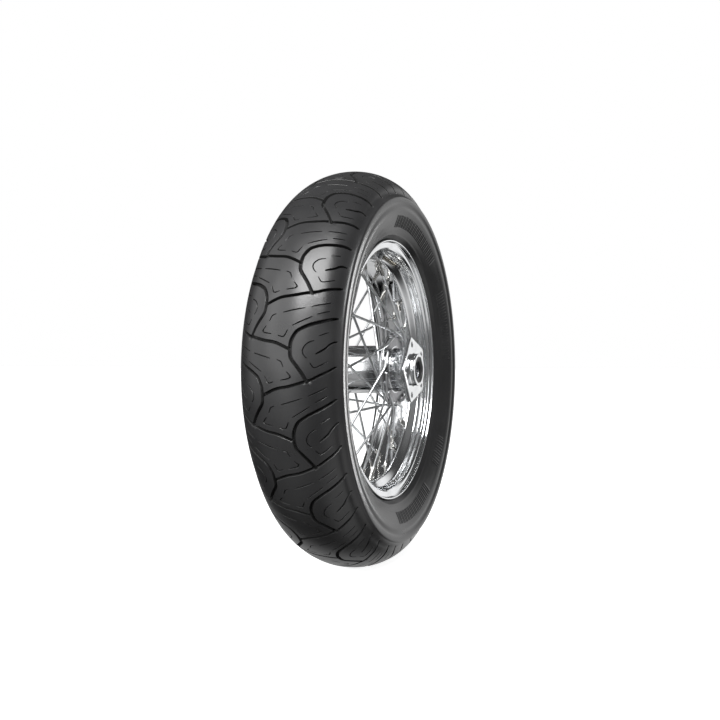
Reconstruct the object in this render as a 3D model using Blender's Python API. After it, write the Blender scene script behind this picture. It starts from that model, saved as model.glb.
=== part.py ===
"""Wire-spoked motorcycle wheel with its tyre, inner tube, hub and wheel bearings.

Metres, +Z up.  The origin is the wheel's centre, the axle lies along Y, and the brake side
is at -Y.  Outlines are (radius, y) points that are turned about the Y axis.  Angles are
measured about Y from +X towards +Z, in degrees.
"""
import math

import bmesh
import bpy
from mathutils import Matrix, Vector

GAP = 0.0003  # left between touching pieces
WHEEL_SEGMENTS = 40  # shared by the nested rings, so that their flats line up

# Tyre: a 160 mm wide section, 660 mm over the tread
TYRE_RADIUS = 0.330
TREAD_HALF_WIDTH = 0.0705
TREAD_EDGE_RADIUS = 0.2931
CROWN_POWER_ACROSS = 2.03
CROWN_POWER_UP = 1.49
TREAD_THICKNESS = 0.0115

# Rim: drop centre, rolled lips
LIP_RADIUS = 0.217
LIP_HALF_WIDTH = 0.0552
SEAT_RADIUS = 0.2020
WELL_RADIUS = 0.1885
WELL_HALF_WIDTH = 0.0195
RAMP_TOP_Y = 0.0285
RIM_WALL = 0.0021

# Hub
BARREL_RADIUS = 0.0405
NECK_RADIUS = 0.0365
BOSS_RADIUS = 0.0270
CORE_RADIUS = 0.0300
BRAKE_FLANGE_RADIUS = 0.0635
DRIVE_FLANGE_RADIUS = 0.0525
SPOKE_FLANGE_INNER_Y = 0.0495
SPOKE_FLANGE_OUTER_Y = 0.0550
BRAKE_PLATE_FACE_Y = -0.0884
DRIVE_PLATE_FACE_Y = 0.0784
BOSS_HEIGHT = 0.0080
PLATE_THICKNESS = 0.0074
PLATE_CORNER_RADIUS = 0.0560
PLATE_CORNER_ROUND = 0.0080
PLATE_PHASE = 180.0
BOLT_CIRCLE_RADIUS = 0.0438
BOLT_HOLE_RADIUS = 0.0041
HUB_SEGMENTS = 32

# Bearings: 20 x 42 x 12 mm, with nine balls, and a seal outside each
AXLE_RADIUS = 0.0100
BEARING_RADIUS = 0.0210
BEARING_WIDTH = 0.0120
BALL_PATH_RADIUS = 0.0155
BALL_RADIUS = 0.0031
BALL_COUNT = 9
INNER_SHOULDER_RADIUS = 0.0133
OUTER_SHOULDER_RADIUS = 0.0177
SEAL_WIDTH = 0.0055
SEAL_LIP_RADIUS = 0.0137
BEARING_SEGMENTS = 24

# Spokes: forty, twenty to a flange, each crossing four of its neighbours
SPOKES_PER_FLANGE = 20
SPOKE_STEP = 360.0 / SPOKES_PER_FLANGE
SPOKE_PHASE = 4.5
SPOKE_SWEEP = 72.0
SPOKE_RADIUS = 0.0020
HEAD_RADIUS = 0.0038
HEAD_THICKNESS = 0.0014
NIPPLE_RADIUS = 0.0034
NIPPLE_LENGTH = 0.0185
NIPPLE_HEAD_RADIUS = 0.0047
NIPPLE_HEAD_HEIGHT = 0.0018
NIPPLE_THROUGH = 0.0045  # from the rim's hub side to the nipple's head
STEP_ALONG_FLANGE = 0.0010
INNER_STRAIGHT = 0.0060  # an inner spoke runs straight out this far before it leans
BRAKE_HOLE_CIRCLE = 0.0575
DRIVE_HOLE_CIRCLE = 0.0468
OUTER_NIPPLE_Y = 0.0095
INNER_NIPPLE_Y = 0.0040
SPOKE_SIDES = 6

# Inner tube and rim strip
TUBE_WALL = 0.0024
TUBE_FLAT_HALF_WIDTH = 0.0050
STRIP_RADIUS = 0.1949
STRIP_THICKNESS = 0.0010
STRIP_HALF_WIDTH = 0.0150

# Valve: square to the rim's ramp on the brake side.  Heights are above the ramp, along the valve
VALVE_ANGLE = 88.0
STEM_RADIUS = 0.0038
STEM_BORE = 0.0019
STEM_FOOT = -0.0088
STEM_SHOULDER = 0.0340
STEM_TOP = 0.0415
STEM_TIP_RADIUS = 0.0026
STEM_TAPER = 0.0010
WASHER_RADIUS = 0.0068
WASHER_BOTTOM = 0.0026
WASHER_TOP = 0.0036
NUT_RADIUS = 0.0066
NUT_BOTTOM = 0.0040
NUT_TOP = 0.0082
CAP_RADIUS = 0.0043
CAP_BOTTOM = 0.0353
CAP_TOP = 0.0437
CAP_ROUND = 0.0010
VALVE_CORE_RADIUS = 0.0015
VALVE_PIN_RADIUS = 0.0006
VALVE_SPRING_RADIUS = 0.0009
VALVE_CORE_BOTTOM = 0.0230
VALVE_CORE_TOP = 0.0410
VALVE_SIDES = 14


def remove_everything():
    for old in list(bpy.data.objects):
        bpy.data.objects.remove(old, do_unlink=True)


def finish(name, colour, roughness, metallic=0.0):
    material = bpy.data.materials.new(name)
    material.use_nodes = True
    shader = material.node_tree.nodes["Principled BSDF"]
    shader.inputs["Base Color"].default_value = (*colour, 1.0)
    shader.inputs["Roughness"].default_value = roughness
    shader.inputs["Metallic"].default_value = metallic
    return material


def add_object(name, mesh_tool, material, placement=None, sharp_angle=35.0):
    """Turn a bmesh into a named object."""
    bmesh.ops.recalc_face_normals(mesh_tool, faces=mesh_tool.faces)
    mesh = bpy.data.meshes.new(name)
    mesh_tool.to_mesh(mesh)
    mesh_tool.free()
    mesh.shade_smooth()
    mesh.set_sharp_from_angle(angle=math.radians(sharp_angle))
    return place_mesh(name, mesh, material, placement)


def place_mesh(name, mesh, material, placement=None):
    """Add an object for a mesh that other objects may share."""
    if material and not mesh.materials:
        mesh.materials.append(material)
    piece = bpy.data.objects.new(name, mesh)
    bpy.context.scene.collection.objects.link(piece)
    if placement:
        piece.matrix_world = placement
    return piece


def add_cutter(name, mesh_tool):
    cutter = add_object(name, mesh_tool, None)
    cutter.hide_render = True
    cutter.display_type = 'WIRE'
    return cutter


def combine(piece, other, operation):
    step = piece.modifiers.new(other.name, 'BOOLEAN')
    step.operation = operation
    step.object = other
    step.solver = 'EXACT'


def on_circle(radius, y, angle):
    turn = math.radians(angle)
    return Vector((radius * math.cos(turn), y, radius * math.sin(turn)))


def turn_about_axle(angle):
    """Matrix that carries angle 0 to the given angle about the axle."""
    return Matrix.Rotation(-math.radians(angle), 4, 'Y')


def both_sides(half):
    """Close a half outline, given from the +Y side's start to its end, with its mirror image."""
    mirrored = [(radius, -y) for radius, y in reversed(half) if y > 1e-9]
    return half + mirrored


def turned(outline, segments, closed=True):
    """Solid of revolution about Y.

    A closed outline makes a ring.  An open one starts and ends on the axle line.
    """
    mesh_tool = bmesh.new()
    rows = []
    for radius, y in outline:
        if radius < 1e-9:
            rows.append([mesh_tool.verts.new((0.0, y, 0.0))])
        else:
            rows.append([mesh_tool.verts.new(on_circle(radius, y, 360.0 * k / segments))
                         for k in range(segments)])
    pairs = list(zip(rows, rows[1:]))
    if closed:
        pairs.append((rows[-1], rows[0]))
    for first, second in pairs:
        for k in range(segments):
            n = (k + 1) % segments
            corners = [first[k % len(first)], first[n % len(first)],
                       second[n % len(second)], second[k % len(second)]]
            mesh_tool.faces.new(list(dict.fromkeys(corners)))
    return mesh_tool


def prism(corners, low_y, high_y):
    """Solid between two planes across the axle; corners are (x, z)."""
    mesh_tool = bmesh.new()
    low = [mesh_tool.verts.new((x, low_y, z)) for x, z in corners]
    high = [mesh_tool.verts.new((x, high_y, z)) for x, z in corners]
    mesh_tool.faces.new(low)
    mesh_tool.faces.new(high)
    for k in range(len(corners)):
        n = (k + 1) % len(corners)
        mesh_tool.faces.new((low[k], low[n], high[n], high[k]))
    return mesh_tool


def swept(stations, sides):
    """Round bar through (point, radius) stations.  Two stations at one point make a step."""
    mesh_tool = bmesh.new()
    points = [point for point, _ in stations]
    side = Vector((0.3, 0.2, 1.0))  # any direction that no bar runs along
    rows = []
    for index, (point, radius) in enumerate(stations):
        before = next((p for p in reversed(points[:index]) if (p - point).length > 1e-6), None)
        after = next((p for p in points[index + 1:] if (p - point).length > 1e-6), None)
        ahead = (after - point).normalized() if after else Vector()
        behind = (point - before).normalized() if before else Vector()
        along = (ahead + behind).normalized()
        side = (side - along * side.dot(along)).normalized()
        across = along.cross(side)
        row = []
        for k in range(sides):
            angle = 2.0 * math.pi * k / sides
            offset = side * math.cos(angle) + across * math.sin(angle)
            row.append(mesh_tool.verts.new(point + offset * radius))
        rows.append(row)
    for first, second in zip(rows, rows[1:]):
        for k in range(sides):
            n = (k + 1) % sides
            mesh_tool.faces.new((first[k], first[n], second[n], second[k]))
    mesh_tool.faces.new(rows[0])
    mesh_tool.faces.new(rows[-1])
    return mesh_tool


def add_rod(mesh_tool, start, end, radius, sides):
    """Add a straight closed rod to a bmesh, for holes."""
    along = end - start
    matrix = Matrix.Translation((start + end) / 2) @ along.to_track_quat('Z', 'Y').to_matrix().to_4x4()
    bmesh.ops.create_cone(mesh_tool, cap_ends=True, segments=sides, radius1=radius, radius2=radius,
                          depth=along.length, matrix=matrix)


def hexagon_around(radius):
    """Corner radius of the hexagon that a round bar of this radius just fits."""
    return radius / math.cos(math.radians(30.0))


def crown(steps, drop=0.0, narrow=0.0):
    """Half of the tread's curve, from its middle to its edge."""
    points = []
    rise = TYRE_RADIUS - drop - TREAD_EDGE_RADIUS
    for step in range(steps + 1):
        angle = math.pi / 2 * step / steps
        y = (TREAD_HALF_WIDTH - narrow) * math.sin(angle) ** (2 / CROWN_POWER_ACROSS)
        lift = max(math.cos(angle), 0.0) ** (2 / CROWN_POWER_UP)
        points.append((TREAD_EDGE_RADIUS + rise * lift, y))
    return points


def inset_loop(outline, distance):
    """Move each side of a closed outline inwards by a distance."""
    area = sum(a[0] * b[1] - b[0] * a[1] for a, b in zip(outline, outline[1:] + outline[:1]))
    way = 1.0 if area > 0 else -1.0
    result = []
    for k, point in enumerate(outline):
        corner = Vector(point)
        ahead = (Vector(outline[(k + 1) % len(outline)]) - corner).normalized()
        behind = (corner - Vector(outline[k - 1])).normalized()
        normal = (Vector((-ahead.y, ahead.x)) + Vector((-behind.y, behind.x))).normalized() * way
        stretch = max(abs(normal.dot(Vector((-ahead.y, ahead.x)))), 0.5)
        result.append(tuple(corner + normal * distance / stretch))
    return result


# ---- rim, and what touches it ----

def rim_outline():
    tyre_side = [
        (WELL_RADIUS, WELL_HALF_WIDTH),
        (SEAT_RADIUS, RAMP_TOP_Y),
        (SEAT_RADIUS + 0.0016, 0.0445),
        (SEAT_RADIUS + 0.0042, 0.0466),
        (LIP_RADIUS - 0.0045, 0.0472),
        (LIP_RADIUS - 0.0014, 0.0487),
        (LIP_RADIUS, 0.0518),
        (LIP_RADIUS - 0.0010, LIP_HALF_WIDTH),
    ]
    hub_side = [
        (LIP_RADIUS - 0.0028, LIP_HALF_WIDTH - 0.0005),
        (LIP_RADIUS - 0.0024, 0.0517),
        (LIP_RADIUS - 0.0050, 0.0494),
        (SEAT_RADIUS + 0.0024, 0.0486),
        (SEAT_RADIUS - 0.0008, 0.0462),
        (SEAT_RADIUS - 0.0022, RAMP_TOP_Y + 0.0012),
        (WELL_RADIUS - RIM_WALL, WELL_HALF_WIDTH + 0.0011),
    ]
    return both_sides(tyre_side + hub_side)


def tyre_outline():
    outside = crown(5)
    sidewall = [(0.2836, 0.0787), (0.2680, 0.0792), (0.2450, 0.0710), (0.2245, 0.0605)]
    bead = [
        (LIP_RADIUS + 0.0008, 0.0515),
        (LIP_RADIUS - 0.0009, 0.0482),
        (LIP_RADIUS - 0.0045, 0.0467),
        (SEAT_RADIUS + 0.0046, 0.0461),
        (SEAT_RADIUS + 0.0021, 0.0440),
        (SEAT_RADIUS + 0.0007, 0.0290),
    ]
    inner_wall = [(0.2150, 0.0320), (0.2300, 0.0540), (0.2560, 0.0680)]
    inside = list(reversed(crown(2, drop=TREAD_THICKNESS, narrow=0.0060)))
    return both_sides(outside + sidewall + bead + inner_wall + inside)


def valve_axis():
    """Unit direction of the valve, out of the rim, in an outline's (radius, y) plane."""
    rise = Vector((SEAT_RADIUS - WELL_RADIUS, RAMP_TOP_Y - WELL_HALF_WIDTH)).normalized()
    return Vector((-rise.y, -rise.x))


def valve_foot():
    """Where the valve's axis crosses the tyre side of the ramp, as (radius, y)."""
    return Vector(((SEAT_RADIUS + WELL_RADIUS) / 2, -(RAMP_TOP_Y + WELL_HALF_WIDTH) / 2))


def tube_outline():
    """Outer surface of the inflated tube; one flat faces the valve."""
    rest = valve_foot() + valve_axis() * (STEM_FOOT - 2 * GAP)
    along = Vector((-valve_axis().y, valve_axis().x))
    upper = rest + along * TUBE_FLAT_HALF_WIDTH
    lower = rest - along * TUBE_FLAT_HALF_WIDTH
    return both_sides([
        (0.3160, 0.0),
        (0.3060, 0.0400),
        (0.2780, 0.0630),
        (0.2500, 0.0600),
        (0.2180, 0.0340),
        (upper.x, -upper.y),
        (lower.x, -lower.y),
        (lower.x, 0.0),
    ])


def valve_placement():
    """Matrix whose +Y runs along the valve, out of the rim, from the ramp."""
    foot = valve_foot()
    radial = on_circle(1.0, 0.0, VALVE_ANGLE)
    axle = Vector((0.0, 1.0, 0.0))
    out = radial * valve_axis().x + axle * valve_axis().y
    tangent = radial.cross(axle)
    matrix = Matrix((tangent, out, tangent.cross(out))).transposed().to_4x4()
    matrix.translation = on_circle(foot.x, foot.y, VALVE_ANGLE)
    return matrix


def valve_hole(name, start, end, radius):
    """Cutter along the valve's axis; start and end are heights above the ramp."""
    mesh_tool = bmesh.new()
    matrix = valve_placement()
    low = matrix @ Vector((0.0, start, 0.0))
    high = matrix @ Vector((0.0, end, 0.0))
    add_rod(mesh_tool, low, high, radius, 12)
    return add_cutter(name, mesh_tool)


def build_tyre(rubber):
    add_object("tyre", turned(tyre_outline(), WHEEL_SEGMENTS), rubber)


def build_inner_tube(rubber):
    outside = tube_outline()
    tube = add_object("inner_tube", turned(outside, WHEEL_SEGMENTS), rubber)
    air_space = add_cutter("inner_tube_air_space", turned(inset_loop(outside, TUBE_WALL), WHEEL_SEGMENTS))
    combine(tube, air_space, 'DIFFERENCE')
    combine(tube, valve_hole("inner_tube_air_hole", STEM_FOOT - 0.0050, 0.0, STEM_BORE), 'DIFFERENCE')


def build_rim_strip(rubber):
    low = STRIP_RADIUS
    high = STRIP_RADIUS + STRIP_THICKNESS
    outline = [(low, STRIP_HALF_WIDTH), (high, STRIP_HALF_WIDTH),
               (high, -STRIP_HALF_WIDTH), (low, -STRIP_HALF_WIDTH)]
    strip = add_object("rim_strip", turned(outline, WHEEL_SEGMENTS), rubber)
    combine(strip, valve_hole("rim_strip_valve_hole", -0.0200, 0.0100, STEM_RADIUS + 2 * GAP), 'DIFFERENCE')


def build_rim(chrome):
    rim = add_object("rim", turned(rim_outline(), WHEEL_SEGMENTS), chrome, sharp_angle=50.0)
    holes = bmesh.new()
    for family in spoke_families():
        start, end = nipple_line(family)
        for number in range(family["count"]):
            matrix = turn_about_axle(family["phase"] + number * 2 * SPOKE_STEP)
            add_rod(holes, matrix @ start, matrix @ end, hexagon_around(NIPPLE_RADIUS + GAP), 6)
    combine(rim, add_cutter("rim_nipple_holes", holes), 'DIFFERENCE')
    combine(rim, valve_hole("rim_valve_hole", -0.0030, 0.0050, STEM_RADIUS + GAP), 'DIFFERENCE')


# ---- spokes ----

def spoke_families():
    """The four sets of ten spokes: each flange has an outer and an inner set."""
    families = []
    for side, y_sign, circle in (("brake", -1, BRAKE_HOLE_CIRCLE), ("drive", 1, DRIVE_HOLE_CIRCLE)):
        start = SPOKE_PHASE if side == "brake" else SPOKE_PHASE + SPOKE_STEP / 2
        flange_radius = BRAKE_FLANGE_RADIUS if side == "brake" else DRIVE_FLANGE_RADIUS
        for layer, lead in (("outer", 1), ("inner", -1)):
            families.append({
                "name": f"{side}_side_{layer}_spoke",
                "side": y_sign,
                "outer": layer == "outer",
                "sweep": lead * SPOKE_SWEEP,
                "circle": circle,
                "flange_radius": flange_radius,
                "phase": start + (0.0 if layer == "outer" else SPOKE_STEP),
                "count": SPOKES_PER_FLANGE // 2,
            })
    return families


def spoke_points(family):
    """Elbow beside the flange, the point where the shank clears the flange, and the rim."""
    side = family["side"]
    lie = HEAD_THICKNESS + SPOKE_RADIUS + 3 * GAP
    if family["outer"]:
        lie_y = side * (SPOKE_FLANGE_OUTER_Y + lie)
        rim_y = side * OUTER_NIPPLE_Y
    else:
        lie_y = side * (SPOKE_FLANGE_INNER_Y - lie)
        rim_y = side * INNER_NIPPLE_Y
    elbow = on_circle(family["circle"], lie_y, -family["sweep"])
    rim = on_circle(WELL_RADIUS - RIM_WALL, rim_y, 0.0)
    flat_way = Vector((rim.x - elbow.x, 0.0, rim.z - elbow.z)).normalized()
    edge = elbow.copy()
    if family["outer"]:
        clear = family["flange_radius"] + SPOKE_RADIUS
        while Vector((edge.x, edge.z)).length < clear:
            edge += flat_way * STEP_ALONG_FLANGE
    else:
        edge += flat_way * INNER_STRAIGHT
    return elbow, edge, rim


def nipple_line(family):
    """Start and end of a nipple hole in the rim, for the spoke at angle 0."""
    _, edge, rim = spoke_points(family)
    way = (rim - edge).normalized()
    return rim - way * 0.0040, rim + way * (NIPPLE_THROUGH + 0.0015)


def spoke_stations(family):
    elbow, edge, rim = spoke_points(family)
    side = family["side"]
    head_way = -side if family["outer"] else side
    head_face = SPOKE_FLANGE_INNER_Y - GAP if family["outer"] else SPOKE_FLANGE_OUTER_Y + GAP
    axle = Vector((0.0, 1.0, 0.0))
    under_head = Vector((elbow.x, side * head_face, elbow.z))
    head_top = under_head + axle * head_way * HEAD_THICKNESS
    way = (rim - edge).normalized()
    nipple_start = rim - way * NIPPLE_LENGTH
    seat = rim + way * NIPPLE_THROUGH
    return [
        (head_top, HEAD_RADIUS),
        (under_head, HEAD_RADIUS),
        (under_head, SPOKE_RADIUS),
        (elbow, SPOKE_RADIUS),
        (edge, SPOKE_RADIUS),
        (nipple_start, SPOKE_RADIUS),
        (nipple_start, NIPPLE_RADIUS),
        (seat, NIPPLE_RADIUS),
        (seat + way * NIPPLE_HEAD_HEIGHT, NIPPLE_HEAD_RADIUS),
    ]


def build_spokes(steel):
    for family in spoke_families():
        mesh = None
        for number in range(family["count"]):
            name = f"{family['name']}_{number + 1:02d}"
            placement = turn_about_axle(family["phase"] + number * 2 * SPOKE_STEP)
            if mesh is None:
                mesh_tool = swept(spoke_stations(family), SPOKE_SIDES)
                mesh = add_object(name, mesh_tool, steel, placement).data
            else:
                place_mesh(name, mesh, steel, placement)


# ---- hub ----

def plate_corners():
    """Outline of a bolt flange: a pentagon with rounded corners, as (x, z)."""
    corners = []
    reach = PLATE_CORNER_RADIUS - PLATE_CORNER_ROUND
    steps = 4
    for corner in range(5):
        middle = PLATE_PHASE + 72.0 * corner
        for step in range(steps + 1):
            angle = math.radians(middle - 36.0 + 72.0 * step / steps)
            x = reach * math.cos(math.radians(middle)) + PLATE_CORNER_ROUND * math.cos(angle)
            z = reach * math.sin(math.radians(middle)) + PLATE_CORNER_ROUND * math.sin(angle)
            corners.append((x, z))
    return corners


def hub_half(radius, plate_face):
    """One half of the hub's outline, from the barrel out to the boss's end."""
    inner = SPOKE_FLANGE_INNER_Y
    outer = SPOKE_FLANGE_OUTER_Y
    round_off = 0.0014
    fillet = 0.0020
    return [
        (BARREL_RADIUS, inner - fillet),
        (BARREL_RADIUS + fillet, inner),
        (radius - round_off, inner),
        (radius, inner + round_off),
        (radius, outer - round_off),
        (radius - round_off, outer),
        (NECK_RADIUS + fillet, outer),
        (NECK_RADIUS, outer + fillet),
        (NECK_RADIUS, plate_face - PLATE_THICKNESS / 2),
        (BOSS_RADIUS, plate_face - PLATE_THICKNESS / 2),
        (BOSS_RADIUS, plate_face + BOSS_HEIGHT - 0.0010),
        (BOSS_RADIUS - 0.0010, plate_face + BOSS_HEIGHT),
        (0.0, plate_face + BOSS_HEIGHT),
    ]


def bearing_shoulder(plate_face):
    """Distance from the hub's middle to the shoulder that a bearing rests on."""
    return plate_face + BOSS_HEIGHT - 0.0010 - SEAL_WIDTH - GAP - BEARING_WIDTH - GAP


def hub_bore_outline():
    """Stepped bore: two bearing pockets, a throat behind each, and the cored middle."""
    pocket = BEARING_RADIUS + GAP
    throat = OUTER_SHOULDER_RADIUS
    brake = bearing_shoulder(-BRAKE_PLATE_FACE_Y)
    drive = bearing_shoulder(DRIVE_PLATE_FACE_Y)
    throat_length = 0.0060
    cone = 0.0080
    past = 0.0500
    return [
        (0.0, -brake - past), (pocket, -brake - past), (pocket, -brake), (throat, -brake),
        (throat, -brake + throat_length), (CORE_RADIUS, -brake + throat_length + cone),
        (CORE_RADIUS, drive - throat_length - cone), (throat, drive - throat_length),
        (throat, drive), (pocket, drive), (pocket, drive + past), (0.0, drive + past),
    ]


def build_hub(alloy):
    brake_half = [(r, -y) for r, y in hub_half(BRAKE_FLANGE_RADIUS, -BRAKE_PLATE_FACE_Y)]
    drive_half = hub_half(DRIVE_FLANGE_RADIUS, DRIVE_PLATE_FACE_Y)
    outline = list(reversed(brake_half)) + drive_half
    hub = add_object("hub", turned(outline, HUB_SEGMENTS, closed=False), alloy)
    plates = {"brake": BRAKE_PLATE_FACE_Y, "drive": DRIVE_PLATE_FACE_Y}
    holes = bmesh.new()
    for side, face in plates.items():
        back = face - math.copysign(PLATE_THICKNESS, face)
        plate = prism(plate_corners(), min(face, back), max(face, back))
        combine(hub, add_cutter(f"hub_{side}_plate", plate), 'UNION')
        for bolt in range(5):
            angle = PLATE_PHASE + 72.0 * bolt
            start = on_circle(BOLT_CIRCLE_RADIUS, face + math.copysign(0.002, face), angle)
            end = on_circle(BOLT_CIRCLE_RADIUS, back - math.copysign(0.002, face), angle)
            add_rod(holes, start, end, BOLT_HOLE_RADIUS, 12)
    for family in spoke_families():
        for number in range(family["count"]):
            angle = family["phase"] + number * 2 * SPOKE_STEP - family["sweep"]
            start = on_circle(family["circle"], family["side"] * (SPOKE_FLANGE_INNER_Y - 0.002), angle)
            end = on_circle(family["circle"], family["side"] * (SPOKE_FLANGE_OUTER_Y + 0.002), angle)
            add_rod(holes, start, end, hexagon_around(SPOKE_RADIUS + GAP), 6)
    bore = add_cutter("hub_bore", turned(hub_bore_outline(), HUB_SEGMENTS, closed=False))
    combine(hub, bore, 'DIFFERENCE')
    combine(hub, add_cutter("hub_holes", holes), 'DIFFERENCE')


# ---- bearings, seals and the sleeve between the bearings ----

def race_outline(middle, face_radius, shoulder_radius, groove_radius):
    """A race: plain on one side, with a ball groove on the other."""
    half = BEARING_WIDTH / 2
    groove_half = 0.0026
    return [
        (face_radius, middle - half),
        (face_radius, middle + half),
        (shoulder_radius, middle + half),
        (shoulder_radius, middle + groove_half),
        (groove_radius, middle + groove_half * 0.35),
        (groove_radius, middle - groove_half * 0.35),
        (shoulder_radius, middle - groove_half),
        (shoulder_radius, middle - half),
    ]


def build_ball_set(name, middle, steel):
    """Nine balls held by a cage, joined because they go round together."""
    cage_half = 0.0012
    cage = [(BALL_PATH_RADIUS - 0.0009, middle - cage_half), (BALL_PATH_RADIUS - 0.0009, middle + cage_half),
            (BALL_PATH_RADIUS + 0.0009, middle + cage_half), (BALL_PATH_RADIUS + 0.0009, middle - cage_half)]
    ring = add_object(name, turned(cage, BALL_COUNT * 2), steel)
    balls = bmesh.new()
    for number in range(BALL_COUNT):
        place = on_circle(BALL_PATH_RADIUS, middle, 360.0 * number / BALL_COUNT)
        bmesh.ops.create_uvsphere(balls, u_segments=6, v_segments=5, radius=BALL_RADIUS,
                                  matrix=Matrix.Translation(place))
    combine(ring, add_cutter(f"{name}_balls", balls), 'UNION')


def seal_outline(inner_y, outer_y):
    """Cased seal: a full-width outer wall, a thin web and a lip."""
    outer_radius = BEARING_RADIUS - GAP
    inward = math.copysign(1.0, outer_y - inner_y)
    return [
        (outer_radius, inner_y),
        (outer_radius, outer_y),
        (SEAL_LIP_RADIUS + 0.0035, outer_y),
        (SEAL_LIP_RADIUS + 0.0015, outer_y - inward * 0.0008),
        (SEAL_LIP_RADIUS, outer_y - inward * 0.0012),
        (SEAL_LIP_RADIUS, outer_y - inward * 0.0026),
        (SEAL_LIP_RADIUS + 0.0030, outer_y - inward * 0.0022),
        (outer_radius - 0.0015, outer_y - inward * 0.0022),
        (outer_radius - 0.0015, inner_y),
    ]


def build_bearings(steel, dark_rubber):
    inner_groove = BALL_PATH_RADIUS - BALL_RADIUS - GAP
    outer_groove = BALL_PATH_RADIUS + BALL_RADIUS + GAP
    for side, sign, plate_face in (("brake", -1, -BRAKE_PLATE_FACE_Y), ("drive", 1, DRIVE_PLATE_FACE_Y)):
        rest = bearing_shoulder(plate_face) + GAP
        middle = sign * (rest + BEARING_WIDTH / 2)
        inner = race_outline(middle, AXLE_RADIUS, INNER_SHOULDER_RADIUS, inner_groove)
        outer = race_outline(middle, BEARING_RADIUS, OUTER_SHOULDER_RADIUS, outer_groove)
        add_object(f"{side}_side_inner_race", turned(inner, BEARING_SEGMENTS), steel)
        add_object(f"{side}_side_outer_race", turned(outer, BEARING_SEGMENTS), steel)
        build_ball_set(f"{side}_side_ball_set", middle, steel)
        seal_inner = sign * (rest + BEARING_WIDTH + GAP)
        seal_outer = seal_inner + sign * SEAL_WIDTH
        add_object(f"{side}_side_seal", turned(seal_outline(seal_inner, seal_outer), BEARING_SEGMENTS),
                   dark_rubber)


def build_spacer_sleeve(steel):
    low = -bearing_shoulder(-BRAKE_PLATE_FACE_Y)
    high = bearing_shoulder(DRIVE_PLATE_FACE_Y)
    outline = [(AXLE_RADIUS, low), (AXLE_RADIUS, high),
               (INNER_SHOULDER_RADIUS, high), (INNER_SHOULDER_RADIUS, low)]
    add_object("bearing_spacer_sleeve", turned(outline, BEARING_SEGMENTS), steel)


# ---- valve ----

def build_valve(brass, steel, black_plastic):
    place = valve_placement()
    stem = [(STEM_BORE, STEM_FOOT), (STEM_BORE, STEM_TOP), (STEM_TIP_RADIUS, STEM_TOP),
            (STEM_TIP_RADIUS, STEM_SHOULDER + STEM_TAPER), (STEM_RADIUS, STEM_SHOULDER), (STEM_RADIUS, STEM_FOOT)]
    add_object("valve_stem", turned(stem, VALVE_SIDES), brass, place)
    add_object("valve_core", turned(valve_core_outline(), 8, closed=False), brass, place)
    washer_bore = STEM_RADIUS + GAP
    washer = [(washer_bore, WASHER_BOTTOM), (washer_bore, WASHER_TOP),
              (WASHER_RADIUS, WASHER_TOP), (WASHER_RADIUS, WASHER_BOTTOM)]
    add_object("valve_washer", turned(washer, VALVE_SIDES), steel, place)
    nut_bore = hexagon_around(STEM_RADIUS + GAP)
    nut = [(nut_bore, NUT_BOTTOM), (nut_bore, NUT_TOP), (NUT_RADIUS, NUT_TOP), (NUT_RADIUS, NUT_BOTTOM)]
    add_object("valve_nut", turned(nut, 6), steel, place, sharp_angle=20.0)
    cap_bore = STEM_TIP_RADIUS + GAP
    ceiling = STEM_TOP + GAP
    cap = [(cap_bore, CAP_BOTTOM), (cap_bore, ceiling), (0.0, ceiling), (0.0, CAP_TOP),
           (CAP_RADIUS - CAP_ROUND, CAP_TOP), (CAP_RADIUS, CAP_TOP - CAP_ROUND), (CAP_RADIUS, CAP_BOTTOM)]
    add_object("valve_cap", cup(cap, VALVE_SIDES), black_plastic, place)


def valve_core_outline():
    """The core's spring, its thick upper half, and the pin on top."""
    body_bottom = VALVE_CORE_TOP - 0.0085
    body_top = VALVE_CORE_TOP - 0.0030
    chamfer = 0.0004
    return [
        (0.0, VALVE_CORE_BOTTOM), (VALVE_SPRING_RADIUS, VALVE_CORE_BOTTOM + chamfer),
        (VALVE_SPRING_RADIUS, body_bottom - chamfer), (VALVE_CORE_RADIUS, body_bottom),
        (VALVE_CORE_RADIUS, body_top), (VALVE_PIN_RADIUS, body_top + chamfer),
        (VALVE_PIN_RADIUS, VALVE_CORE_TOP), (0.0, VALVE_CORE_TOP),
    ]


def cup(outline, segments):
    """Hollow cap: the outline meets the axis twice, inside and outside."""
    first_pole = next(k for k, (radius, _) in enumerate(outline) if radius < 1e-9)
    reordered = outline[first_pole + 1:] + outline[:first_pole + 1]
    return turned(reordered, segments, closed=False)


def build_wheel():
    remove_everything()
    rubber = finish("tyre_rubber", (0.028, 0.028, 0.030), 0.62)
    tube_rubber = finish("tube_rubber", (0.040, 0.040, 0.042), 0.70)
    chrome = finish("chrome", (0.82, 0.83, 0.84), 0.07, 1.0)
    bright_steel = finish("spoke_steel", (0.75, 0.76, 0.77), 0.18, 1.0)
    alloy = finish("polished_alloy", (0.80, 0.81, 0.82), 0.14, 1.0)
    bearing_steel = finish("bearing_steel", (0.62, 0.63, 0.65), 0.22, 1.0)
    seal_rubber = finish("seal_rubber", (0.020, 0.020, 0.022), 0.50)
    brass = finish("plated_brass", (0.72, 0.70, 0.64), 0.25, 1.0)
    black_plastic = finish("black_plastic", (0.015, 0.015, 0.016), 0.40)
    build_tyre(rubber)
    build_inner_tube(tube_rubber)
    build_rim_strip(tube_rubber)
    build_rim(chrome)
    build_spokes(bright_steel)
    build_hub(alloy)
    build_bearings(bearing_steel, seal_rubber)
    build_spacer_sleeve(bearing_steel)
    build_valve(brass, bright_steel, black_plastic)


build_wheel()
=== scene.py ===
from math import ceil, copysign, cos, degrees, dist, exp, hypot, pi, radians, sin, sqrt, tan
from types import SimpleNamespace

import bmesh
import bpy
import numpy as np
from mathutils import Matrix, Vector
from mathutils.geometry import delaunay_2d_cdt


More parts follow.
